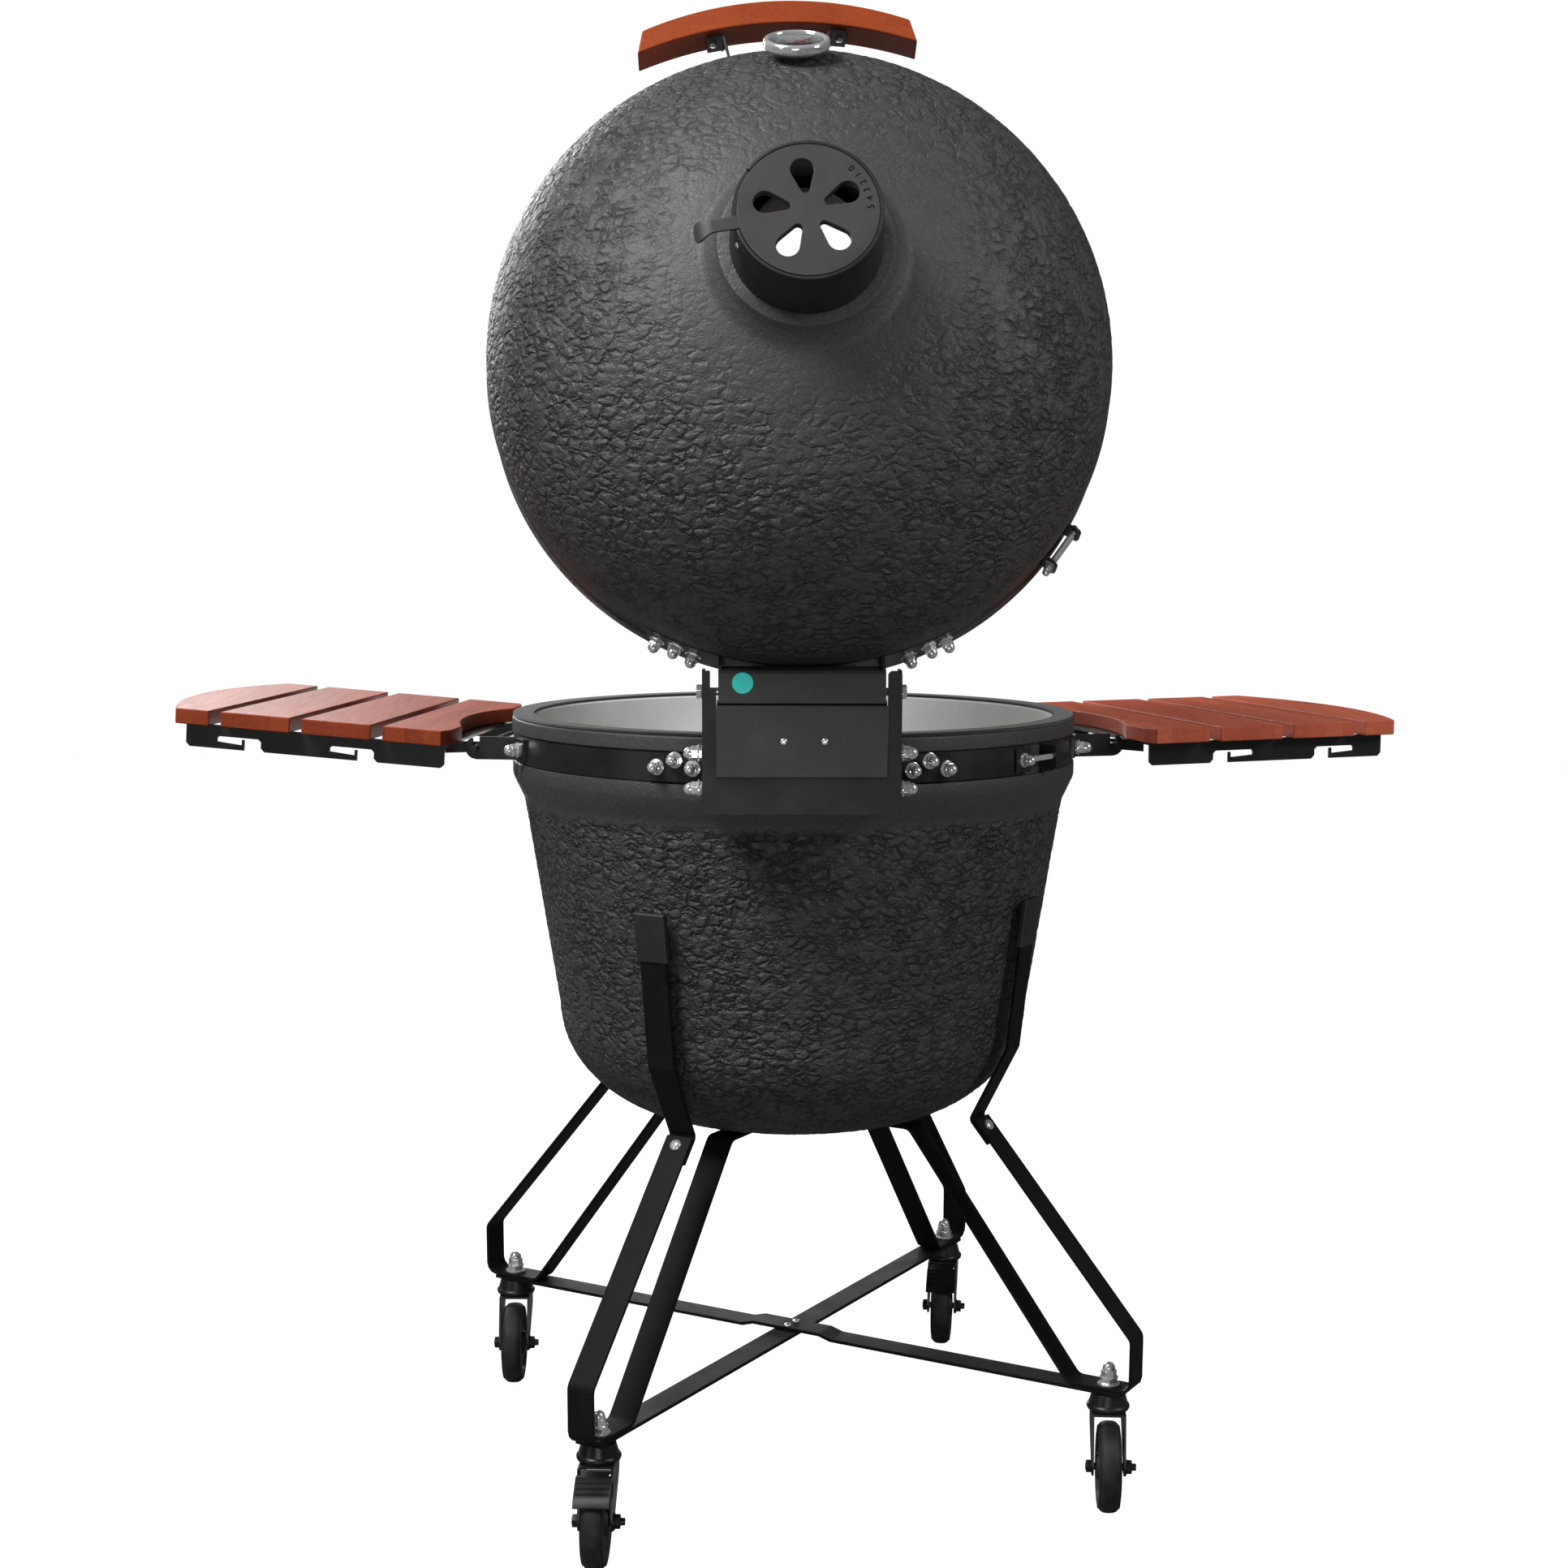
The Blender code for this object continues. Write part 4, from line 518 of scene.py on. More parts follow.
SKIN_STEPS = 520
SKIN_PITCH = 0.0036
seat = RIM_RADIUS - SEAT_DEPTH
seat_top = RIM_HEIGHT - LIP_HEIGHT
seat_low = seat_top - SEAT_WIDTH
collar_low = seat_low - COLLAR_HEIGHT
shoulder = RIM_HEIGHT - SHOULDER_DROP
bowl_profile = (
    arc((RIM_RADIUS - 0.003, RIM_HEIGHT - 0.003), 0.003, math.pi / 2, 0, 4)
    + [(RIM_RADIUS, seat_top + 0.001), (RIM_RADIUS - 0.001, seat_top), (seat, seat_top), (seat, seat_low)]
    + [(RIM_RADIUS - 0.002, seat_low), (RIM_RADIUS - 0.0004, seat_low - 0.0007), (RIM_RADIUS, seat_low - 0.002)]
    + [(RIM_RADIUS, collar_low + 0.005), (RIM_RADIUS - 0.001, collar_low + 0.001)]
    + [(SHOULDER_RADIUS + 0.0035, shoulder + 0.0085), (SHOULDER_RADIUS + 0.0007, shoulder + 0.003)]
    + even([(SHOULDER_RADIUS, shoulder), (WAIST_RADIUS, WAIST_HEIGHT)], SKIN_PITCH)
    + even(bowl_outline(0, 26), SKIN_PITCH)[1:]
    + [(0, BOWL_BOTTOM), (0, BOWL_BOTTOM + WALL)]
    + bowl_outline(WALL, 14)[::-1]
    + [(RIM_RADIUS - WALL, RIM_HEIGHT - 0.002), (RIM_RADIUS - WALL + 0.002, RIM_HEIGHT)]
)
bowl = turned(bowl_profile, SKIN_STEPS)


def bowl_strength(vert):
    radius = math.hypot(vert.co.x, vert.co.y)
    if vert.co.z > shoulder - 0.001 or inside_bowl(vert.co):
        return 0.0
    return ramp(shoulder - vert.co.z, 0.001, 0.010) * ramp(radius, 0.10, 0.13)


def inside_bowl(point):
    radius = math.hypot(point.x, point.y)
    if point.z >= WAIST_HEIGHT:
        share = (point.z - WAIST_HEIGHT) / (shoulder - WAIST_HEIGHT)
        return radius < WAIST_RADIUS + share * (SHOULDER_RADIUS - WAIST_RADIUS) - 0.010
    drop = min(1.0, (WAIST_HEIGHT - point.z) / (WAIST_HEIGHT - BOWL_BOTTOM - 0.010))
    return point.z > BOWL_BOTTOM + 0.010 and radius < (FOOT_RADIUS + 0.152 * math.sqrt(max(0, 1 - drop**2)) - 0.006)


emboss(bowl, bowl_strength)
for face in bowl.faces:
    centre = face.calc_center_median()
    radius = math.hypot(centre.x, centre.y)
    face.material_index = 1 if inside_bowl(centre) and radius < RIM_RADIUS - WALL + 0.001 else 0
bowl = settle("bowl_glazed_shell", bowl, [BOWL_GLAZE, BISQUE], "stand", ["bowl_shell"], level=False)
DRAFT = block((-0.050, -RIM_RADIUS, 0.478), (0.050, -0.10, 0.536))
carve(bowl, [DRAFT])
print("bowl:", len(bowl.data.polygons), "faces")


# %% The lid
def dome_point(sweep, inset=0.0):
    radius = (LID_RADIUS - inset) * math.cos(sweep) ** (2 / DOME_POWER)
    return radius, LID_RIM + LID_WIDEST + (DOME_HEIGHT - inset) * math.sin(sweep) ** (2 / DOME_POWER)


def dome_outline(last_radius, inset=0.0, steps=30):
    last = math.acos((last_radius / (LID_RADIUS - inset)) ** (DOME_POWER / 2))
    return [dome_point(last * i / steps, inset) for i in range(steps + 1)]


NECK_TOP = dome_outline(NECK_RADIUS)[-1][1] + NECK_HEIGHT
lid_seat = LID_RIM_RADIUS - SEAT_DEPTH
lid_seat_low = LID_RIM + LIP_HEIGHT
lid_seat_high = lid_seat_low + SEAT_WIDTH
neck_foot = dome_outline(NECK_RADIUS + 0.014)[-1]
neck = [
    (neck_foot[0] - 0.005, neck_foot[1] + 0.0042),
    (neck_foot[0] - 0.010, neck_foot[1] + 0.0105),
    (NECK_RADIUS + 0.0008, NECK_TOP - 0.0072),
    (NECK_RADIUS - 0.0003, NECK_TOP - 0.0035),
    (NECK_RADIUS - 0.0018, NECK_TOP - 0.0010),
    (NECK_RADIUS - 0.0045, NECK_TOP),
    (CHIMNEY_HOLE, NECK_TOP),
]
lid_profile = (
    [(LID_RIM_RADIUS - 0.003, LID_RIM), (LID_RIM_RADIUS - 0.0008, LID_RIM + 0.0008), (LID_RIM_RADIUS, LID_RIM + 0.003)]
    + [(LID_RIM_RADIUS, lid_seat_low - 0.001), (LID_RIM_RADIUS - 0.001, lid_seat_low), (lid_seat, lid_seat_low)]
    + [(lid_seat, lid_seat_high), (LID_RIM_RADIUS - 0.001, lid_seat_high), (LID_RIM_RADIUS + 0.0008, lid_seat_high + 0.0004)]
    + even(dome_outline(NECK_RADIUS + 0.014, 0, 60), SKIN_PITCH)
    + neck
    + dome_outline(CHIMNEY_HOLE, WALL, 16)[::-1]
    + [(LID_RADIUS - WALL, LID_RIM + 0.030), (LID_RIM_RADIUS - WALL, LID_RIM + 0.001), (LID_RIM_RADIUS - WALL + 0.001, LID_RIM)]
)
lid = turned(lid_profile, SKIN_STEPS)


def inside_lid(point):
    radius = math.hypot(point.x, point.y)
    rise = max(0.0, point.z - LID_RIM - LID_WIDEST) / (DOME_HEIGHT - 0.010)
    reach = (LID_RADIUS - 0.010) * max(0.0, 1 - rise**DOME_POWER) ** (1 / DOME_POWER)
    return radius < min(reach, LID_RIM_RADIUS - 0.010) and not (radius > CHIMNEY_HOLE + 0.002 and point.z > NECK_TOP - 0.004)


def lid_strength(vert):
    """Full on the flanks, finer toward the crown and fading out at the band and at the neck."""
    if inside_lid(vert.co) or vert.co.z < lid_seat_high + 0.002:
        return 0.0
    radius = math.hypot(vert.co.x, vert.co.y)
    return ramp(vert.co.z, lid_seat_high + 0.006, lid_seat_high + 0.030) * (0.10 + 0.90 * ramp(radius, 0.110, 0.235))


emboss(lid, lid_strength)
for face in lid.faces:
    face.material_index = 1 if inside_lid(face.calc_center_median()) else 0


# %% The thermometer's hole, and the lid in place
def thermometer_place():
    sweep, step, turn = math.radians(39.7), 1e-3, Matrix.Rotation(math.radians(1.2), 3, "Z")
    radius, height = dome_point(sweep)
    along = (Vector(dome_point(sweep + step)) - Vector(dome_point(sweep - step))).normalized()
    return turn @ Vector((0, -radius, height)), turn @ Vector((0, -along.y, -along.x))


gauge_place, gauge_out = thermometer_place()
lid = settle("lid_glazed_dome", lid, [LID_GLAZE, BISQUE], "lid", ["lid_dome"], OPEN, level=False)
hole = rod(gauge_place - gauge_out * 0.06, gauge_place + gauge_out * 0.02, 0.0051, 24)
bmesh.ops.transform(hole, matrix=OPEN, verts=hole.verts)
carve(lid, [hole])
print("lid:", len(lid.data.polygons), "faces")

# %% [markdown]
# ## Felt rings
# A strip of felt is glued on each rim, so that the shut grill holds its heat. It is laid as a flat strip with
# two raised ridges and soft edges, which is one more profile to spin.

# %% Gaskets
def felt_ring(height, radius):
    inner, outer = radius - WALL + 0.002, radius - 0.001
    low, high, soft = height, height + FELT, 0.0009
    tops = []
    for share in (0.12, 0.28, 0.40, 0.60, 0.72, 0.88):
        tops.append((inner + (outer - inner) * share, high - (0.0007 if share in (0.28, 0.72) else 0.0)))
    edge = [(outer - soft, low), (outer, low + soft), (outer, high - soft), (outer - soft, high)]
    return turned(edge + tops[::-1] + [(inner + soft, high), (inner, high - soft), (inner, low + soft), (inner + soft, low)])


settle("bowl_felt_ring", felt_ring(RIM_HEIGHT + GAP, RIM_RADIUS), FELT_FINISH, "stand", ["bowl_gasket"])
lid_felt = felt_ring(0, LID_RIM_RADIUS)
bmesh.ops.transform(lid_felt, matrix=Matrix.Diagonal((1, 1, -1, 1)), verts=lid_felt.verts)
bmesh.ops.recalc_face_normals(lid_felt, faces=lid_felt.faces)
lid_felt_place = OPEN @ Matrix.Translation((0, 0, LID_RIM - GAP))
settle("lid_felt_ring", lid_felt, FELT_FINISH, "lid", ["lid_gasket"], lid_felt_place)

# %% [markdown]
# ## Nuts, bolts and screws
# A kamado's bands, hinge and cart are held by domed acorn nuts, bright against the black. One nut is a hexagon
# with its corners turned down, on a washer, under a dome that is spun from a quarter circle. Each kind is
# drawn once, pointing up, and stamped wherever the frame has a bolt.

# %% Acorn nut, cap screw and hexagon head
def hexagon(radius, low, high, edge=0.0006):
    shape = bmesh.new()
    bmesh.ops.create_cone(shape, cap_ends=True, segments=6, radius1=radius, radius2=radius, depth=high - low)
    bmesh.ops.translate(shape, verts=shape.verts, vec=(0, 0, (low + high) / 2))
    return soften(shape, edge, 2)


def acorn_nut(size=0.0072):
    """A domed nut on its washer, standing on the floor. Size is the hexagon's corner radius."""
    nut = hexagon(size, size * 0.22, size * 1.05)
    stamp(nut, turned([(0, 0), (size * 1.16, 0), (size * 1.16, size * 0.20), (size * 1.08, size * 0.24), (0, size * 0.24)], 28, closed=False))
    dome = [(0, size * 0.9), (size * 0.80, size * 0.9), (size * 0.80, size * 1.25)]
    dome += [(size * 0.80 * math.cos(t), size * (1.25 + 0.82 * math.sin(t))) for t in (math.pi / 16 * i for i in range(1, 8))]
    return stamp(nut, turned(dome + [(0, size * 2.07)], 28, closed=False))


def dome_screw(radius=0.0036, height=0.0020):
    """A round head with a cross recess."""
    profile = [(0, 0), (radius, 0), (radius, height * 0.25)]
    profile += [(radius * math.cos(t), height * (0.25 + 0.75 * math.sin(t))) for t in (math.pi / 12 * i for i in range(1, 6))]
    head = turned(profile + [(0, height)], 24, closed=False)
    for turn in (0, math.pi / 2):
        arm = block((-radius * 0.55, -radius * 0.10, height * 0.92), (radius * 0.55, radius * 0.10, height * 1.04))
        stamp(head, arm, Matrix.Rotation(turn + 0.5, 4, "Z"))
    return head


def hex_bolt(size=0.0065, height=0.0045):
    bolt = hexagon(size, 0.0012, height + 0.0012)
    return stamp(bolt, turned([(0, 0), (size * 1.2, 0), (size * 1.2, 0.0010), (size * 1.1, 0.0013), (0, 0.0013)], 28, closed=False))


def threaded(length, radius=0.0030, pitch=0.0011):
    """A rod with rounded threads, standing up."""
    profile = [(0, 0)]
    for i in range(int(length / pitch)):
        profile += [(radius * 0.86, i * pitch), (radius, (i + 0.5) * pitch)]
    return turned(profile + [(radius * 0.86, length), (0, length)], 16, closed=False)


def at(place, direction, spin=0.0):
    return Matrix.Translation(Vector(place)) @ facing(direction) @ Matrix.Rotation(spin, 4, "Z")


def ring_place(azimuth, radius, height):
    out = Vector((math.cos(math.radians(azimuth)), math.sin(math.radians(azimuth)), 0))
    return out * radius + Vector((0, 0, height)), out


# %% [markdown]
# ## Bands and clamps
# A steel band grips each half of the egg. It is one ring with a gap, whose ends are bent out and pulled
# together by two long bolts. The ring is spun through a little less than a full turn.

# %% Bands
def band(low, inner, clamp, flat_end=0):
    """The ring, its two bent ends and a rolled edge. A flat end lies on the ring, under a nut."""
    outer, high, soft = inner + BAND_THICKNESS, low + BAND_WIDTH, 0.0006
    section = [(inner, low), (outer - soft, low), (outer, low + soft), (outer, high - soft), (outer - soft, high), (inner, high)]
    gap = math.radians(3.4)
    ring = turned(section, 200, clamp + gap, 2 * math.pi - 2 * gap)
    for side in (1, -1):
        end = clamp + side * (gap + math.asin(0.0017 / inner))
        tip = inner + (0.0044 if side == flat_end else 0.0204)
        ear = [(inner + 0.0004, low + 0.002), (tip, low + 0.002), (tip, high - 0.002), (inner + 0.0004, high - 0.002)]
        corner = plate(ear, -SHEET / 2, SHEET / 2)
        outside = [e for e in corner.edges if side != flat_end and abs(e.verts[0].co.x - e.verts[1].co.x) < 1e-6 and e.verts[0].co.x > inner + 0.01 and abs(e.verts[0].co.y - e.verts[1].co.y) < 1e-6]
        bmesh.ops.bevel(corner, geom=outside, offset=0.006, segments=4, profile=0.5, affect="EDGES", material=-1)
        soften(corner, 0.0005, 2)
        bmesh.ops.transform(corner, matrix=Matrix.Rotation(end, 4, "Z") @ Matrix.Rotation(math.radians(90), 4, "X"), verts=corner.verts)
        stamp(ring, corner)
    return ring


def clamp_bolts(low, inner, clamp, heights=(0.0095, 0.0215), nuts=True):
    """Bolts through the ears, each with a nut at one side and a hexagon head at the other."""
    bolts = bmesh.new()
    across = Vector((-math.sin(clamp), math.cos(clamp), 0))
    out = Vector((math.cos(clamp), math.sin(clamp), 0))
    half = inner * math.sin(math.radians(3.4)) + 0.0032
    for height in heights:
        middle = out * (inner + 0.0125) + Vector((0, 0, low + height))
        stamp(bolts, threaded(2 * half + 0.004), at(middle - across * (half + 0.002), across))
        stamp(bolts, hexagon(0.0050, 0, 0.0038), at(middle + across * half, across, 0.3))
        if nuts:
            stamp(bolts, acorn_nut(0.0048), at(middle - across * half, -across, 0.2))
    return bolts


band_low = seat_low + (SEAT_WIDTH - BAND_WIDTH) / 2
lid_band_low = lid_seat_low + (SEAT_WIDTH - BAND_WIDTH) / 2
BOWL_CLAMP, LID_CLAMP = math.radians(142.5), math.radians(144.5)
settle("bowl_band_ring", band(band_low, seat + GAP, BOWL_CLAMP, -1), POWDER, "stand", ["bowl_band"])
settle("lid_band_ring", band(lid_band_low, lid_seat + GAP, LID_CLAMP), POWDER, "lid", ["lid_band"], OPEN)
settle("bowl_clamp_bolts", clamp_bolts(band_low, seat + GAP, BOWL_CLAMP, (0.0170,), False), CHROME, "stand")
clamp_place, clamp_out = ring_place(138.6, seat + GAP + BAND_THICKNESS + 0.0002, band_low + 0.0155)
saddle = block((-0.0130, -0.0130, 0), (0.0130, 0.0130, 0.0022), 0.0006)
level_out = Matrix((Vector((-clamp_out.y, clamp_out.x, 0)), Vector((0, 0, 1)), clamp_out)).transposed().to_4x4()
settle("bowl_clamp_saddle", saddle, POWDER, "stand", (), Matrix.Translation(clamp_place) @ level_out)
settle("lid_clamp_bolts", clamp_bolts(lid_band_low, lid_seat + GAP, LID_CLAMP), CHROME, "lid", (), OPEN)

# %% Nuts on the bands
band_face = seat + GAP + BAND_THICKNESS + SHEET + GAP
bowl_nuts, lid_nuts = bmesh.new(), bmesh.new()
stamp(bowl_nuts, acorn_nut(0.0066), at(clamp_place + clamp_out * 0.0022, clamp_out, 0.4))
for azimuth, height in ((70.0, 0.825), (66.5, 0.833), (62.75, 0.825), (111.0, 0.823), (114.5, 0.832), (118.25, 0.823)):
    place, out = ring_place(azimuth, band_face, height)
    stamp(bowl_nuts, acorn_nut(), at(place, out, azimuth))
for azimuth, height in ((70.25, 0.892), (67.0, 0.900), (63.25, 0.892), (109.75, 0.892), (113.5, 0.900), (117.0, 0.892)):
    place, out = ring_place(azimuth, band_face, height)
    stamp(lid_nuts, acorn_nut(), at(place, out, azimuth))
settle("bowl_band_nuts", bowl_nuts, CHROME, "stand")
settle("lid_band_nuts", lid_nuts, CHROME, "lid", (), OPEN)

# %% [markdown]
# ## Bent and cut steel
# The hinge, the shelf frames and the cart are folded from flat bar. The frame already has their true shape,
# but with knife edges. A copy is merged, its flat faces are joined, and every sharp edge gets the small radius
# that a cut and coated bar has. That radius catches the light, which is most of what the eye reads as steel.

# %% Softened copies
def softened(node, finish, body, edge=0.0007, name=None, sharp=35):
    """A copy of a CAD node with joined flats and rounded edges, which stands for it."""
    shape = bmesh.new()
    shape.from_mesh(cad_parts[node].data)
    bmesh.ops.remove_doubles(shape, verts=shape.verts, dist=2e-5)
    bmesh.ops.dissolve_limit(
        shape, angle_limit=math.radians(0.6), verts=shape.verts, edges=shape.edges, use_dissolve_boundaries=False
    )
    before = len(shape.faces)
    soften(shape, edge, 2, 34)
    bmesh.ops.dissolve_degenerate(shape, edges=shape.edges, dist=1e-7)
    open_edges = sum(not e.is_manifold for e in shape.edges)
    print(f"{node}: {before} faces, {len(shape.faces)} with round edges, {open_edges} open edges")
    return settle(name or node + "_steel", shape, finish, body, [node], sharp=sharp)


softened("hinge_base_bracket", HINGE_COAT, "stand")
softened("hinge_lid_bracket", COVER_PAINTED_SHEEN, "lid")
softened("hinge_cover", COVER_PAINTED_SHEEN, "stand", 0.0012)
tongue = block((-0.0840, PLATE_Y - 0.0085, 0.8835), (0.0840, PLATE_Y - 0.0060, 0.8985), 0.0005)
settle("hinge_cover_tongue", tongue, POWDER, "stand")
for side in ("left", "right"):
    softened(f"handle_bracket_{side}", POWDER, "lid", 0.0005)
    softened(f"shelf_{side}_frame", POWDER, f"shelf_{side}", 0.0005)
    for end in ("back", "front"):
        softened(f"shelf_{side}_arm_{end}", POWDER, "stand", 0.0006)
for leg in LEGS:
    softened(f"leg_{leg}", CART_COAT, "stand", 0.0009)
    softened(f"strap_{leg}", CART_COAT, "stand", 0.0009)
    softened(f"caster_fork_{leg}", ZINC, f"caster_{leg}", 0.0004)
for bar in ("lower", "upper"):
    softened(f"cross_bar_{bar}", CART_COAT, "stand", 0.0009)
softened("draft_frame", STEEL, "stand", 0.0003)
softened("draft_door", STEEL, "door", 0.0003)
softened("charcoal_grate", GRATE, "stand", 0.0008)

# %% [markdown]
# ## The hinge's fittings
# The pin has a hexagon head at each end. The spring round it carries the lid's weight, so it is a wire wound on
# a helix: a curve with a round bevel, made a mesh before it is placed. Four tall nuts hold the flanges.

# %% Pin, spring and nuts
def shaft(reach, radius, head):
    """A pin along X with a hexagon head at each end."""
    pin = rod((-reach, 0, 0), (reach, 0, 0), radius, 32)
    for side in (1, -1):
        stamp(pin, hexagon(head, 0, 0.0055), at((side * (reach - 0.001), 0, 0), (side, 0, 0), 0.26))
    return pin


pin_place = Matrix.Translation(HINGE)
settle("hinge_pin_turned", shaft(PLATE_HALF + GAP + 0.001, 0.004, 0.0075), CHROME, "stand", ["hinge_pin"], pin_place)


def coil(length, radius, wire, turns, steps=20):
    line = bpy.data.curves.new("coil", "CURVE")
    line.dimensions, line.bevel_depth, line.bevel_resolution, line.use_fill_caps = "3D", wire, 3, True
    spline = line.splines.new("POLY")
    count = turns * steps
    spline.points.add(count)
    for i, point in enumerate(spline.points):
        angle = 2 * math.pi * i / steps
        point.co = (length * (i / count - 0.5), radius * math.cos(angle), radius * math.sin(angle), 1)
    holder = bpy.data.objects.new("coil", line)
    bpy.context.scene.collection.objects.link(holder)
    bpy.context.view_layer.update()
    shape = bmesh.new()
    mesh = bpy.data.meshes.new_from_object(holder.evaluated_get(bpy.context.evaluated_depsgraph_get()))
    shape.from_mesh(mesh)
    bpy.data.objects.remove(holder)
    bmesh.ops.remove_doubles(shape, verts=shape.verts, dist=1e-6)
    bmesh.ops.recalc_face_normals(shape, faces=shape.faces)
    return shape


settle("hinge_spring_coil", coil(0.070, 0.0079, 0.0017, 14), ZINC, "stand", ["hinge_spring"], pin_place)
flange_nuts = bmesh.new()
for side in (1, -1):
    for height in (0.8431, 0.8071):
        place = at((side * (PLATE_HALF + GAP), 0.325, height), (side, 0, 0), height * 90)
        stamp(flange_nuts, hexagon(0.0082, 0, 0.0042), place)
        stamp(flange_nuts, acorn_nut(0.0078), place @ Matrix.Translation((0, 0, 0.0030)))
settle("hinge_flange_nuts", flange_nuts, CHROME, "stand")
cover_screws = bmesh.new()
for x in (0.0182, -0.0224):
    stamp(cover_screws, dome_screw(0.0034, 0.0019), at((x, PLATE_Y + 0.0027, 0.8587), (0, 1, 0)))
settle("hinge_cover_screws", cover_screws, CHROME, "stand")
label = turned([(0, 0), (0.0104, 0), (0.0104, 0.00012), (0.0100, 0.0002), (0, 0.0002)], 48, closed=False)
settle("inspection_sticker", label, STICKER, "lid", (), at((0.0586, PLATE_Y + 0.0001, 0.9160), (0, 1, 0)))

# %% [markdown]
# ## The vent
# The smoke leaves by an iron chimney. Its dial has five drop-shaped holes over five more in a fixed disc, and a
# lever turns it along a slot in the collar. A pierced disc is drawn flat: the rim and the holes are loops of
# edges, the ground between them is filled, and the disc is raised and its edges rounded.

# %% Pierced discs
def teardrop(near, near_radius, far, far_radius, turn):
    lean = math.asin((far_radius - near_radius) / (far - near))
    quarter = math.pi / 2 + lean
    points = arc((far, 0), far_radius, -quarter, quarter, 18) + arc((near, 0), near_radius, quarter, 2 * math.pi - quarter, 8)
    spin = Matrix.Rotation(turn, 2)
    return [tuple(spin @ Vector(point)) for point in points]


def pierced(radius, holes, low, high, edge, sides=128):
    """A disc with holes, drawn as loops, filled and raised."""
    shape = bmesh.new()
    rim = arc((0, 0), radius, 0, 2 * math.pi, sides)[:-1]
    for loop in [rim, *holes]:
        verts = [shape.verts.new((x, y, low)) for x, y in loop]
        for first, second in zip(verts, verts[1:] + verts[:1]):
            shape.edges.new((first, second))
    bmesh.ops.triangle_fill(shape, use_beauty=True, edges=shape.edges[:])
    raised = bmesh.ops.extrude_face_region(shape, geom=shape.faces[:])["geom"]
    top = [item for item in raised if isinstance(item, bmesh.types.BMVert)]
    bmesh.ops.translate(shape, verts=top, vec=(0, 0, high - low))
    bmesh.ops.recalc_face_normals(shape, faces=shape.faces)
    return soften(shape, edge, 2, 50)


vent_low = NECK_TOP + GAP
vent_top = vent_low + 0.0602
collar_inner = 0.0677 - 0.0032
dial_radius = collar_inner - 0.0007
DROPS = [teardrop(0.0205, 0.0042, 0.0395, 0.0107, math.radians(72 * i - 10)) for i in range(5)]
LEVER = math.radians(11)

# %% Collar, fixed disc and dial
ledge = vent_top - 0.0083
collar = turned(
    [(0.0706, vent_low), (0.0710, vent_low + 0.0006), (0.0708, vent_low + 0.004), (0.0679, vent_top - 0.0030)]
    + [(0.0677, vent_top - 0.0010), (0.0673, vent_top - 0.0003), (0.0668, vent_top), (collar_inner + 0.0004, vent_top)]
    + [(collar_inner, vent_top - 0.0004), (collar_inner, ledge), (collar_inner - 0.004, ledge)]
    + [(collar_inner - 0.004, vent_low + 0.004), (0.052, vent_low + 0.004), (0.052, vent_low - 0.005)]
    + [(0.055, vent_low - 0.005), (0.055, vent_low)],
    144,
)
collar = settle("vent_collar_cast", collar, CAST, "lid", ["chimney_collar"])
slot_low, slot_sweep = vent_top - 0.0043, math.radians(54)
notch = [(0.0617, slot_low), (0.0737, slot_low), (0.0737, vent_top + 0.01), (0.0617, vent_top + 0.01)]
carve(collar, [turned(notch, 30, LEVER - math.radians(47), slot_sweep)])
collar.data.transform(OPEN)

base_disc = pierced(collar_inner - GAP, DROPS, ledge + GAP, ledge + 0.0037, 0.0003)
settle("vent_fixed_disc", base_disc, CAST, "lid", ["vent_base_disc"], OPEN)

dial = pierced(dial_radius, DROPS, vent_top - 0.004, vent_top, 0.0005)
arm = [(dial_radius - 0.006, -0.0065), (0.088, -0.0058), (0.088, 0.0058), (dial_radius - 0.006, 0.0065)]
lever = plate(arm, vent_top - 0.0034, vent_top - 0.0008, 0.0007)
curl = bmesh.new()
bend = [(0.086 + 0.0155 * math.sin(t), vent_top - 0.0034 - 0.0155 * (1 - math.cos(t))) for t in (math.radians(9 * i) for i in range(10))]
widths = [0.0060, 0.0062, 0.0068, 0.0077, 0.0086, 0.0092, 0.0094, 0.0089, 0.0072, 0.0036]
rings = []
for i, ((r, z), half) in enumerate(zip(bend, widths)):
    tilt = math.radians(9 * i)
    out = Vector((math.sin(tilt), 0, math.cos(tilt))) * 0.0026
    corners = [Vector((r, -half, z)), Vector((r, half, z)), Vector((r, half, z)) + out, Vector((r, -half, z)) + out]
    rings.append([curl.verts.new(corner) for corner in corners])
edges = []
for ring in rings:
    edges.append([curl.edges.new((ring[j], ring[(j + 1) % 4])) for j in range(4)])
for first, second in zip(edges, edges[1:]):
    bmesh.ops.bridge_loops(curl, edges=first + second)
bmesh.ops.contextual_create(curl, geom=edges[0])
bmesh.ops.contextual_create(curl, geom=edges[-1])
bmesh.ops.recalc_face_normals(curl, faces=curl.faces)
stamp(lever, soften(curl, 0.0007, 2, 50))
stamp(dial, lever, Matrix.Rotation(LEVER, 4, "Z"))
settle("vent_dial_pierced", dial, DIAL_IRON_PAINTED_LIGHT, "vent", ["vent_dial"], OPEN)
vent_screw = dome_screw(0.0028, 0.0018)
screw_turn = math.radians(24)
screw_at = Vector((0.0690 * math.cos(screw_turn), 0.0690 * math.sin(screw_turn), vent_top - 0.014))
settle("vent_collar_screw", vent_screw, CHROME, "lid", (), OPEN @ at(screw_at, (math.cos(screw_turn), math.sin(screw_turn), 0.05)))


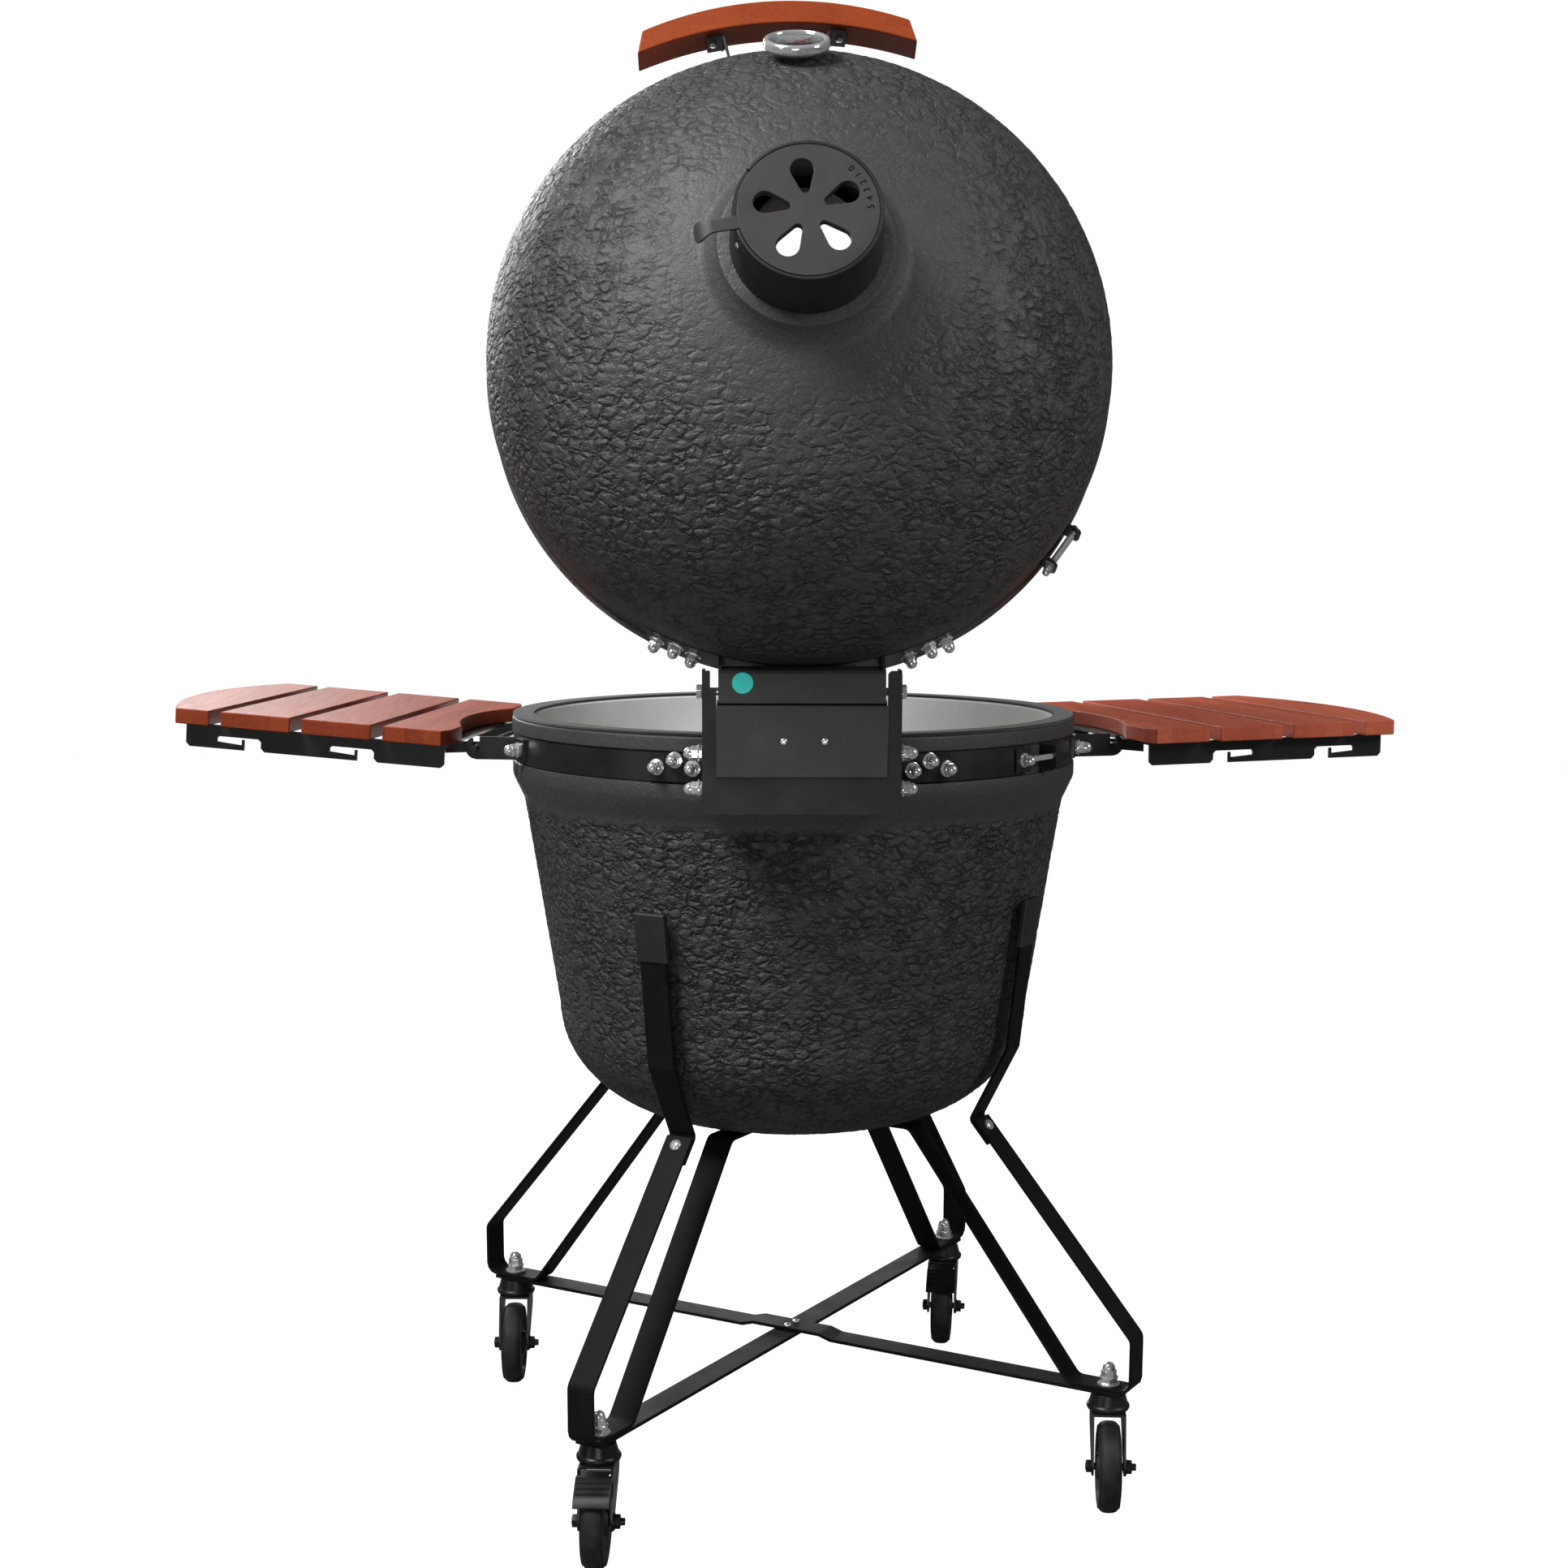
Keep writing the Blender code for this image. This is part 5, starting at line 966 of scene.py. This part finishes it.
# %% Numbers
def lettering(text, size, depth):
    """Generic figures as a closed mesh, lying flat on the floor and centred."""
    line = bpy.data.curves.new("figures", "FONT")
    line.body, line.size, line.extrude, line.align_x, line.align_y = text, size, depth / 2, "CENTER", "CENTER"
    holder = bpy.data.objects.new("figures", line)
    bpy.context.scene.collection.objects.link(holder)
    bpy.context.view_layer.update()
    mesh = bpy.data.meshes.new_from_object(holder.evaluated_get(bpy.context.evaluated_depsgraph_get()))
    bpy.data.objects.remove(holder)
    shape = bmesh.new()
    shape.from_mesh(mesh)
    bmesh.ops.remove_doubles(shape, verts=shape.verts, dist=1e-6)
    return shape


# The figures sit a hair above the dial in near-black: painted shade for the shadow in the engraving.
figures = bmesh.new()
for i, text in enumerate("543210"):
    turn = math.radians(183 + 8.6 * i)
    spot = Vector((0.0560 * math.cos(turn), 0.0560 * math.sin(turn), vent_top + 0.00005))
    stamp(figures, lettering(text, 0.0085, 0.0003), Matrix.Translation(spot) @ Matrix.Rotation(turn + math.pi / 2, 4, "Z"))
settle("vent_numbers", figures, ENGRAVING_SHADE, "vent", (), OPEN)

# %% [markdown]
# ## The thermometer
# Its stem goes through the lid. The chrome bezel is a stepped ring, spun; the face lies inside it under glass,
# with a ring of ticks, and the red needle turns on its own body.

# %% Thermometer
GAUGE = OPEN @ at(gauge_place, gauge_out)
bezel = turned(
    [(0, -0.050), (0.003, -0.0495), (0.0045, -0.047), (0.0045, 0.0040), (0.0220, 0.0040), (0.0265, 0.0050), (0.0308, 0.0075)]
    + [(0.0322, 0.0088), (0.0328, 0.0102), (0.0328, 0.0143), (0.0324, 0.0158), (0.0314, 0.0171), (0.0303, 0.0175)]
    + [(0.0284, 0.0175), (0.0275, 0.0168), (0.0268, 0.0150), (0.0266, 0.0115), (0, 0.0115)],
    96,
    closed=False,
)
settle("thermometer_bezel", bezel, CHROME, "lid", ["thermometer_body"], GAUGE)
face = turned([(0, 0.0115), (0.0264, 0.0115), (0.0264, 0.0117), (0, 0.0117)], 96, closed=False)
settle("thermometer_face", face, GAUGE_FACE, "lid", (), GAUGE)
ticks = bmesh.new()
for i in range(53):
    turn = math.radians(230 - 5 * i - 10)
    long_tick = i % 4 == 0
    tick = block((0.0205 if long_tick else 0.0225, -0.00022 * (2 if long_tick else 1), 0.01168), (0.0250, 0.00022 * (2 if long_tick else 1), 0.01182))
    stamp(ticks, tick, Matrix.Rotation(turn, 4, "Z"))
for i, text in enumerate(("50", "100", "150", "200", "250", "300", "350", "400")):
    turn = math.radians(220 - 37.1 * i)
    spot = Vector((0.0170 * math.cos(turn), 0.0170 * math.sin(turn), 0.01176))
    stamp(ticks, lettering(text, 0.0045, 0.00012), Matrix.Translation(spot))
settle("thermometer_scale", ticks, GAUGE_PRINT, "lid", (), GAUGE)
needle = turned([(0, 0.0118), (0.0028, 0.0118), (0.0028, 0.0133), (0.0022, 0.0138), (0, 0.0138)], 32, closed=False)
pointer = plate([(-0.007, -0.0011), (0.021, -0.0004), (0.021, 0.0004), (-0.007, 0.0011)], 0.0124, 0.0132, 0.0001, 1)
stamp(needle, pointer, Matrix.Rotation(math.radians(-140), 4, "Z"))
settle("thermometer_pointer", needle, NEEDLE_RED, "needle", ["thermometer_needle"], GAUGE)
glass = turned([(0, 0.0152), (0.0266, 0.0152), (0.0266, 0.0160), (0.020, 0.0164), (0.010, 0.0166), (0, 0.0167)], 64, closed=False)
settle("thermometer_glass", glass, GLASS, "lid", (), GAUGE)

# %% [markdown]
# ## The handle
# A bar of stained hardwood, cut on a curve: its inner face follows the lid, its outer face a smaller circle, so
# it is thinner at its ends. Its edges are rounded over for the hand. Two bent brackets hold it off the band.

# %% Handle
HANDLE_TOP, HANDLE_HEIGHT, HANDLE_INNER, HANDLE_DEPTH = 0.9175, 0.036, 0.3876, 0.0262
middle = -math.pi / 2 + math.radians(3.3)
front = arc((HANDLE_INNER + HANDLE_DEPTH - 0.360, 0), 0.360, math.radians(-23.0), math.radians(23.0), 40)
back = arc((0, 0), HANDLE_INNER, math.radians(22.3), math.radians(-22.3), 40)
grip = plate(front + back, HANDLE_TOP - HANDLE_HEIGHT, HANDLE_TOP, 0.0021, 4)
settle("handle_wood_bar", grip, HANDLE_WOOD, "lid", ["handle_grip"], OPEN @ Matrix.Rotation(middle, 4, "Z"), 50)
screws = bmesh.new()
band_outer = lid_seat + GAP + BAND_THICKNESS
for side in (1, -1):
    turn = Matrix.Rotation(middle + side * math.radians(8.3), 4, "Z")
    tab = Vector((HANDLE_INNER - 0.0011 - 0.0031, side * 0.0115, lid_band_low + 0.016))
    stamp(screws, dome_screw(0.0042, 0.0024), turn @ at(tab, (-1, 0, 0)))
    foot = Vector((band_outer + GAP + SHEET, -side * 0.0145, lid_band_low + 0.016))
    stamp(screws, acorn_nut(0.0055), turn @ at(foot, (1, 0, 0), 0.3))
settle("handle_screws", screws, CHROME, "lid", (), OPEN)

# %% [markdown]
# ## The shelves
# Each shelf is four planks on a steel frame, whose rod hangs in two open arms on the bowl's band. The first
# plank is hollowed to clear the bowl, and the last ends in a curve. The planks are outlines raised to their
# thickness, in the shelf's own plane, and then placed with the frame.

# %% Planks
PLANK, PLANK_WIDTH, PLANK_GAP, PLANK_HALF = 0.0165, 0.0765, 0.013, 0.196
SHELF_HEIGHT, SHELF_REACH, ROD_REACH, ROD_DROP, ARM_OFFSET = 0.8475, 0.330, 0.006, 0.022, 0.130


def plank_outlines():
    half, hollow, first = PLANK_HALF, RIM_RADIUS + 0.059, 0.024
    reach = math.acos((SHELF_REACH + first) / hollow)
    inner = [(x - SHELF_REACH, y) for x, y in arc((0, 0), hollow, reach, -reach, 40)]
    end = first + PLANK_WIDTH - 0.006
    made = [[(first + 0.006, -half), (end, -half), (end, half), (first + 0.006, half), (first, half - 0.022)] + inner + [(first, -half + 0.022)]]
    start = end + PLANK_GAP
    for _ in range(2):
        made.append([(start, -half), (start + PLANK_WIDTH, -half), (start + PLANK_WIDTH, half), (start, half)])
        start += PLANK_WIDTH + PLANK_GAP
    sweep = math.asin(half / 0.545)
    return made + [[(start, half), (start, -half)] + arc((0.3599 - 0.545, 0), 0.545, -sweep, sweep, 40)]


for side, (along, turn, tilt) in SHELVES.items():
    ahead = -turn if along > 0 else math.pi + turn
    level = Matrix.Translation((0, 0, SHELF_HEIGHT)) @ Matrix.Rotation(ahead, 4, "Z")
    tilted = Matrix.Translation((SHELF_REACH + ROD_REACH, 0, -ROD_DROP)) @ Matrix.Rotation(-tilt, 4, "Y")
    placed = level @ tilted @ Matrix.Translation((-ROD_REACH, 0, ROD_DROP))
    for i, outline in enumerate(plank_outlines(), 1):
        board = plate(outline, -PLANK, 0, 0.0014, 3)
        name = f"shelf_{side}_board_{i}"
        settle(name, board, SHELF_WOOD[side], f"shelf_{side}", [f"shelf_{side}_plank_{i}"], placed, 50)
    under = bmesh.new()
    for u in (0.040, 0.260):
        for v in (-0.10, 0.0, 0.10):
            stamp(under, dome_screw(0.0040, 0.0022), placed @ at((u, v, -PLANK - GAP - SHEET), (0, 0, -1)))
    settle(f"shelf_{side}_screws", under, ZINC, f"shelf_{side}")
    nuts = bmesh.new()
    radius = band_outer + GAP
    spread = math.degrees(math.asin(ARM_OFFSET / radius))
    for end in (1, -1):
        azimuth = math.degrees(ahead) + end * (spread + 3.4)
        place, out = ring_place(azimuth, radius + SHEET + 0.001, SHELF_HEIGHT - ROD_DROP)
        stamp(nuts, hexagon(0.0078, 0, 0.004), at(place, out, 0.2))
        stamp(nuts, acorn_nut(0.0074), at(place + out * 0.003, out, 0.7))
    settle(f"shelf_{side}_arm_nuts", nuts, CHROME, "stand")

# %% [markdown]
# ## Inside the bowl
# The fire sits in a thick ceramic box on the bowl's floor, with an iron grate for the coals, a ring above it,
# and a steel grate for the food. The grate is a ring of round wire with rods welded across.

# %% Firebox, ring and cooking grate
floor = BOWL_BOTTOM + WALL + GAP
fire_profile = (
    [(0, floor), (0.085, floor), (0.150, floor + 0.027), (0.205, 0.502), (0.232, 0.582), (0.249, 0.656), (0.2485, 0.6592), (0.247, 0.660)]
    + [(0.230, 0.660), (0.2283, 0.659), (0.2275, 0.656), (0.208, 0.556), (0.186, 0.556), (0.176, 0.500), (0.136, floor + 0.024), (0, floor + 0.024)]
)
firebox = turned(fire_profile, 120, closed=False)
firebox = settle("firebox_ceramic", firebox, BISQUE, "stand", ["firebox"])
carve(firebox, [block((-0.050, -RIM_RADIUS, 0.478), (0.050, -0.10, 0.536))])
ring = turned([(0.2275, 0.6603), (0.2498, 0.6603), (0.2512, 0.6617), (0.2618, 0.7880), (0.2605, 0.790), (0.2395, 0.790), (0.2378, 0.788), (0.2262, 0.6617)], 120)
settle("fire_ring_ceramic", ring, BISQUE, "stand", ["fire_ring"])

grate_low = 0.790 + GAP
hoop = turned([(0.246 + x, grate_low + 0.004 + z) for x, z in arc((0, 0), 0.0038, 0, 2 * math.pi, 12)[:-1]], 120)
for i in range(-11, 12):
    x = i * 0.02025
    half = math.sqrt(0.246**2 - x * x)
    stamp(hoop, rod((x, -half, grate_low + 0.004), (x, half, grate_low + 0.004), 0.0024, 12))
for y in (-0.08, 0.08):
    half = math.sqrt(0.246**2 - y * y)
    stamp(hoop, rod((-half, y, grate_low + 0.0025), (half, y, grate_low + 0.0025), 0.0022, 12))
settle("cooking_grate_wire", hoop, STEEL, "grate", ["cooking_grate"])

# %% [markdown]
# ## Under the bowl
# The bowl stands on a ring where four bent bars meet. Straps come up its side and end in plastic pads. Each
# leg's joint has a round-headed bolt, and a tall nut holds each caster's stem.

# %% Ring, pads and the cart's fasteners
cradle_top = BOWL_BOTTOM - 0.004 - 2 * GAP
cradle = turned([(0.055, cradle_top - 0.003), (0.085, cradle_top - 0.003), (0.085, cradle_top), (0.055, cradle_top)], 96)
settle("cradle_ring_steel", soften(cradle, 0.0005, 2, 60), POWDER, "stand", ["cradle_ring"])
cart_bolts, stem_nuts = bmesh.new(), bmesh.new()
for leg, (direction, trail) in LEGS.items():
    turn = Matrix.Rotation(direction, 4, "Z")
    along, out = Vector((0.6516, 0, -0.7585)), Vector((0.7585, 0, 0.6516))
    place = Vector((0.243, 0, 0.4165)) + along * 0.0115 + out * 0.0020
    stamp(cart_bolts, dome_screw(0.0066, 0.0042), turn @ at(place, out, 0.4))
    stamp(cart_bolts, hexagon(0.0068, 0, 0.005), turn @ at(place - out * 0.0085, -out))
    stem = Vector((CASTER_RADIUS, 0, FOOT_HEIGHT))
    stamp(stem_nuts, hexagon(0.0098, 0.0012, 0.0085, 0.0008), turn @ Matrix.Translation(stem) @ Matrix.Rotation(0.5, 4, "Z"))
    stamp(stem_nuts, turned([(0, 0), (0.0125, 0), (0.0125, 0.0013), (0, 0.0013)], 32, closed=False), turn @ Matrix.Translation(stem))
    stamp(stem_nuts, acorn_nut(0.0088), turn @ Matrix.Translation(stem + Vector((0, 0, 0.0070))))
    high, low = Vector((0.2990, 0, 0.668)), Vector((0.2990 - 0.0064, 0, 0.616))
    lean = math.atan2(high.x - low.x, high.z - low.z)
    pad = block((-0.0042, -0.0188, 0), (0.0042, 0.0188, 0.0535), 0.0022, 3)
    stand_up = turn @ Matrix.Translation(low) @ Matrix.Rotation(lean, 4, "Y")
    settle(f"strap_pad_{leg}", pad, PAD_PLASTIC, "stand", (), stand_up)
for offset in (1, -1):
    stamp(cart_bolts, dome_screw(0.0045, 0.0028), at((offset * 0.0050, offset * 0.0072 + 0.001, FOOT_HEIGHT + 0.0001), (0, 0, 1)))
settle("cart_bolts", cart_bolts, CHROME, "stand")
settle("caster_stem_nuts", stem_nuts, CHROME, "stand")

# %% [markdown]
# ## Casters
# A rubber wheel turns on an axle bolt in a pressed fork, and the fork swivels on a ring of balls under a cap.
# Two of the four have a ribbed pedal that presses on the tread.

# %% Wheels, caps, axles and pedals
half = WHEEL_WIDTH / 2
wheel_side = [(0.0044, half), (0.0125, half), (0.0135, half - 0.0006), (0.0150, half - 0.0040), (0.0300, half - 0.0046)]
wheel_side += [(0.0318, half - 0.0040), (0.0330, half - 0.0022), (0.0400, half - 0.0016), (0.0455, half - 0.0024)]
tread = arc((WHEEL_RADIUS - 0.0085, half - 0.0105), 0.0082, math.radians(65), 0, 6)
wheel_side += tread + [(WHEEL_RADIUS - 0.0001, 0.001)]
wheel_profile = wheel_side + [(r, -z) for r, z in reversed(wheel_side)]
inner = half + 0.0022
for leg, (direction, trail) in LEGS.items():
    foot = Vector((CASTER_RADIUS * math.cos(direction), CASTER_RADIUS * math.sin(direction), 0))
    local = Matrix.Translation(foot) @ Matrix.Rotation(-trail, 4, "Z")
    axle = Matrix.Translation((0, CASTER_TRAIL, WHEEL_RADIUS)) @ Matrix.Rotation(math.radians(90), 4, "Y")
    wheel = turned(wheel_profile, 96)
    settle(f"wheel_{leg}_tyre", wheel, RUBBER, f"wheel_{leg}", [f"wheel_{leg}"], local @ axle, 40)
    bearing = turned([(0.0190, 0.1066), (0.0228, 0.1075), (0.0238, 0.1100), (0.0236, 0.1118), (0.0222, 0.1136), (0.0196, 0.1152), (0.0192, 0.1160), (0.0186, 0.1160)], 64)
    settle(f"caster_cap_{leg}", bearing, ZINC, f"caster_{leg}", (), local)
    bolt = bmesh.new()
    outer = inner + 0.0025
    stamp(bolt, hexagon(0.0078, 0, 0.0058, 0.0007), at((outer, CASTER_TRAIL, WHEEL_RADIUS), (1, 0, 0), 0.4))
    stamp(bolt, hexagon(0.0078, 0.0008, 0.0068, 0.0007), at((-outer, CASTER_TRAIL, WHEEL_RADIUS), (-1, 0, 0), 0.1))
    stamp(bolt, turned([(0, 0), (0.0095, 0), (0.0095, 0.0009), (0, 0.0009)], 28, closed=False), at((-outer, CASTER_TRAIL, WHEEL_RADIUS), (-1, 0, 0)))
    settle(f"axle_nuts_{leg}", bolt, ZINC, f"caster_{leg}", (), local)
for leg in ("near_left", "far_right"):
    softened(f"brake_pedal_{leg}", ZINC, f"brake_{leg}", 0.0004)

# %% [markdown]
# ## Floor, light and camera
# A pale floor and a pale sky give soft light from all round. One broad lamp above and a little behind the
# viewer gives the dome its bright crown and dark underside, and two tall lamps draw the edges of the steel.

# %% Floor and sky
ground = bmesh.new()
bmesh.ops.create_circle(ground, cap_ends=True, segments=96, radius=9.0)
ground_mesh = bpy.data.meshes.new("studio_floor")
ground.to_mesh(ground_mesh)
ground.free()
floor_finish = Finish("studio_floor", Roughness=0.9, Specular_IOR_Level=0.1)
floor_material = floor_finish.feed(
    Base_Color=floor_finish.mix(floor_finish.noise(3), colour(0.155, 0.155, 0.155), colour(0.17, 0.17, 0.17))
)
floor_glow = floor_finish.tree.nodes.new("ShaderNodeEmission")
floor_glow.inputs["Strength"].default_value = 0.97
floor_sum, floor_pick = floor_finish.tree.nodes.new("ShaderNodeAddShader"), floor_finish.tree.nodes.new("ShaderNodeMixShader")
floor_ray = floor_finish.tree.nodes.new("ShaderNodeLightPath")
floor_links = floor_finish.tree.links
floor_links.new(floor_finish.shader.outputs[0], floor_sum.inputs[0])
floor_links.new(floor_glow.outputs[0], floor_sum.inputs[1])
floor_links.new(floor_ray.outputs["Is Camera Ray"], floor_pick.inputs[0])
floor_links.new(floor_finish.shader.outputs[0], floor_pick.inputs[1])
floor_links.new(floor_sum.outputs[0], floor_pick.inputs[2])
floor_links.new(floor_pick.outputs[0], floor_finish.tree.nodes["Material Output"].inputs["Surface"])
ground_mesh.materials.append(floor_material)
studio_floor = bpy.data.objects.new("studio_floor", ground_mesh)
studio_floor.location = (0, 0, -0.0005)
bpy.context.scene.collection.objects.link(studio_floor)

sky = bpy.data.worlds.new("studio_sky")
bpy.context.scene.world = sky
sky.use_nodes = True
sky_nodes = sky.node_tree.nodes
background = sky_nodes["Background"]
background.inputs["Color"].default_value = colour(1.0, 1.0, 1.0)
background.inputs["Strength"].default_value = 0.11
bright = sky_nodes.new("ShaderNodeBackground")
bright.inputs["Color"].default_value = colour(1.0, 1.0, 1.0)
bright.inputs["Strength"].default_value = 1.0
path, blend = sky_nodes.new("ShaderNodeLightPath"), sky_nodes.new("ShaderNodeMixShader")
links = sky.node_tree.links
links.new(path.outputs["Is Camera Ray"], blend.inputs[0])
links.new(background.outputs[0], blend.inputs[1])
links.new(bright.outputs[0], blend.inputs[2])
links.new(blend.outputs[0], sky_nodes["World Output"].inputs["Surface"])
bpy.context.scene.view_settings.view_transform = "Standard"


# %% Lamps
def lamp(name, place, target, size, power):
    light = bpy.data.lights.new(name, "AREA")
    light.shape, light.size, light.size_y, light.energy = "RECTANGLE", size[0], size[1], power
    holder = bpy.data.objects.new(name, light)
    bpy.context.scene.collection.objects.link(holder)
    holder.location = place
    holder.rotation_euler = (Vector(place) - Vector(target)).to_track_quat("Z", "Y").to_euler()
    return holder


lamp("key_upper_left", (1.8, 1.4, 3.6), (0, 0.1, 1.1), (1.3, 1.3), 148)
lamp("right_upper", (-2.7, 1.4, 2.5), (0, 0, 1.0), (0.8, 1.6), 44)
lamp("left_tall", (3.0, 2.2, 1.4), (0, 0, 0.8), (0.5, 2.0), 9)
lamp("front_fill", (1.7, -3.0, 2.4), (0, 0, 0.8), (1.6, 1.2), 88)
lamp("back_low", (0.3, 3.3, 0.3), (0, 0.4, 1.2), (1.2, 0.5), 14)
lamp("front_low", (0.2, -3.0, 0.35), (0, 0.2, 1.25), (1.6, 0.6), 24)

# %% Camera
YAW, PITCH, ROLL = -0.0281, -0.1705, 0.0036
ahead = Vector((math.sin(YAW) * math.cos(PITCH), -math.cos(YAW) * math.cos(PITCH), math.sin(PITCH)))
right = ahead.cross(Vector((0, 0, 1))).normalized()
upward = right.cross(ahead)
turned_right = right * math.cos(ROLL) + upward * math.sin(ROLL)
turned_up = upward * math.cos(ROLL) - right * math.sin(ROLL)
view = bpy.data.cameras.new("camera")
view.lens, view.sensor_width, view.shift_x, view.shift_y = 55.64, 36.0, -0.0134, 0.0948
camera = bpy.data.objects.new("camera", view)
bpy.context.scene.collection.objects.link(camera)
camera.matrix_world = Matrix.Translation((0.0635, 2.7516, 1.0783)) @ Matrix((turned_right, turned_up, -ahead)).transposed().to_4x4()
bpy.context.scene.camera = camera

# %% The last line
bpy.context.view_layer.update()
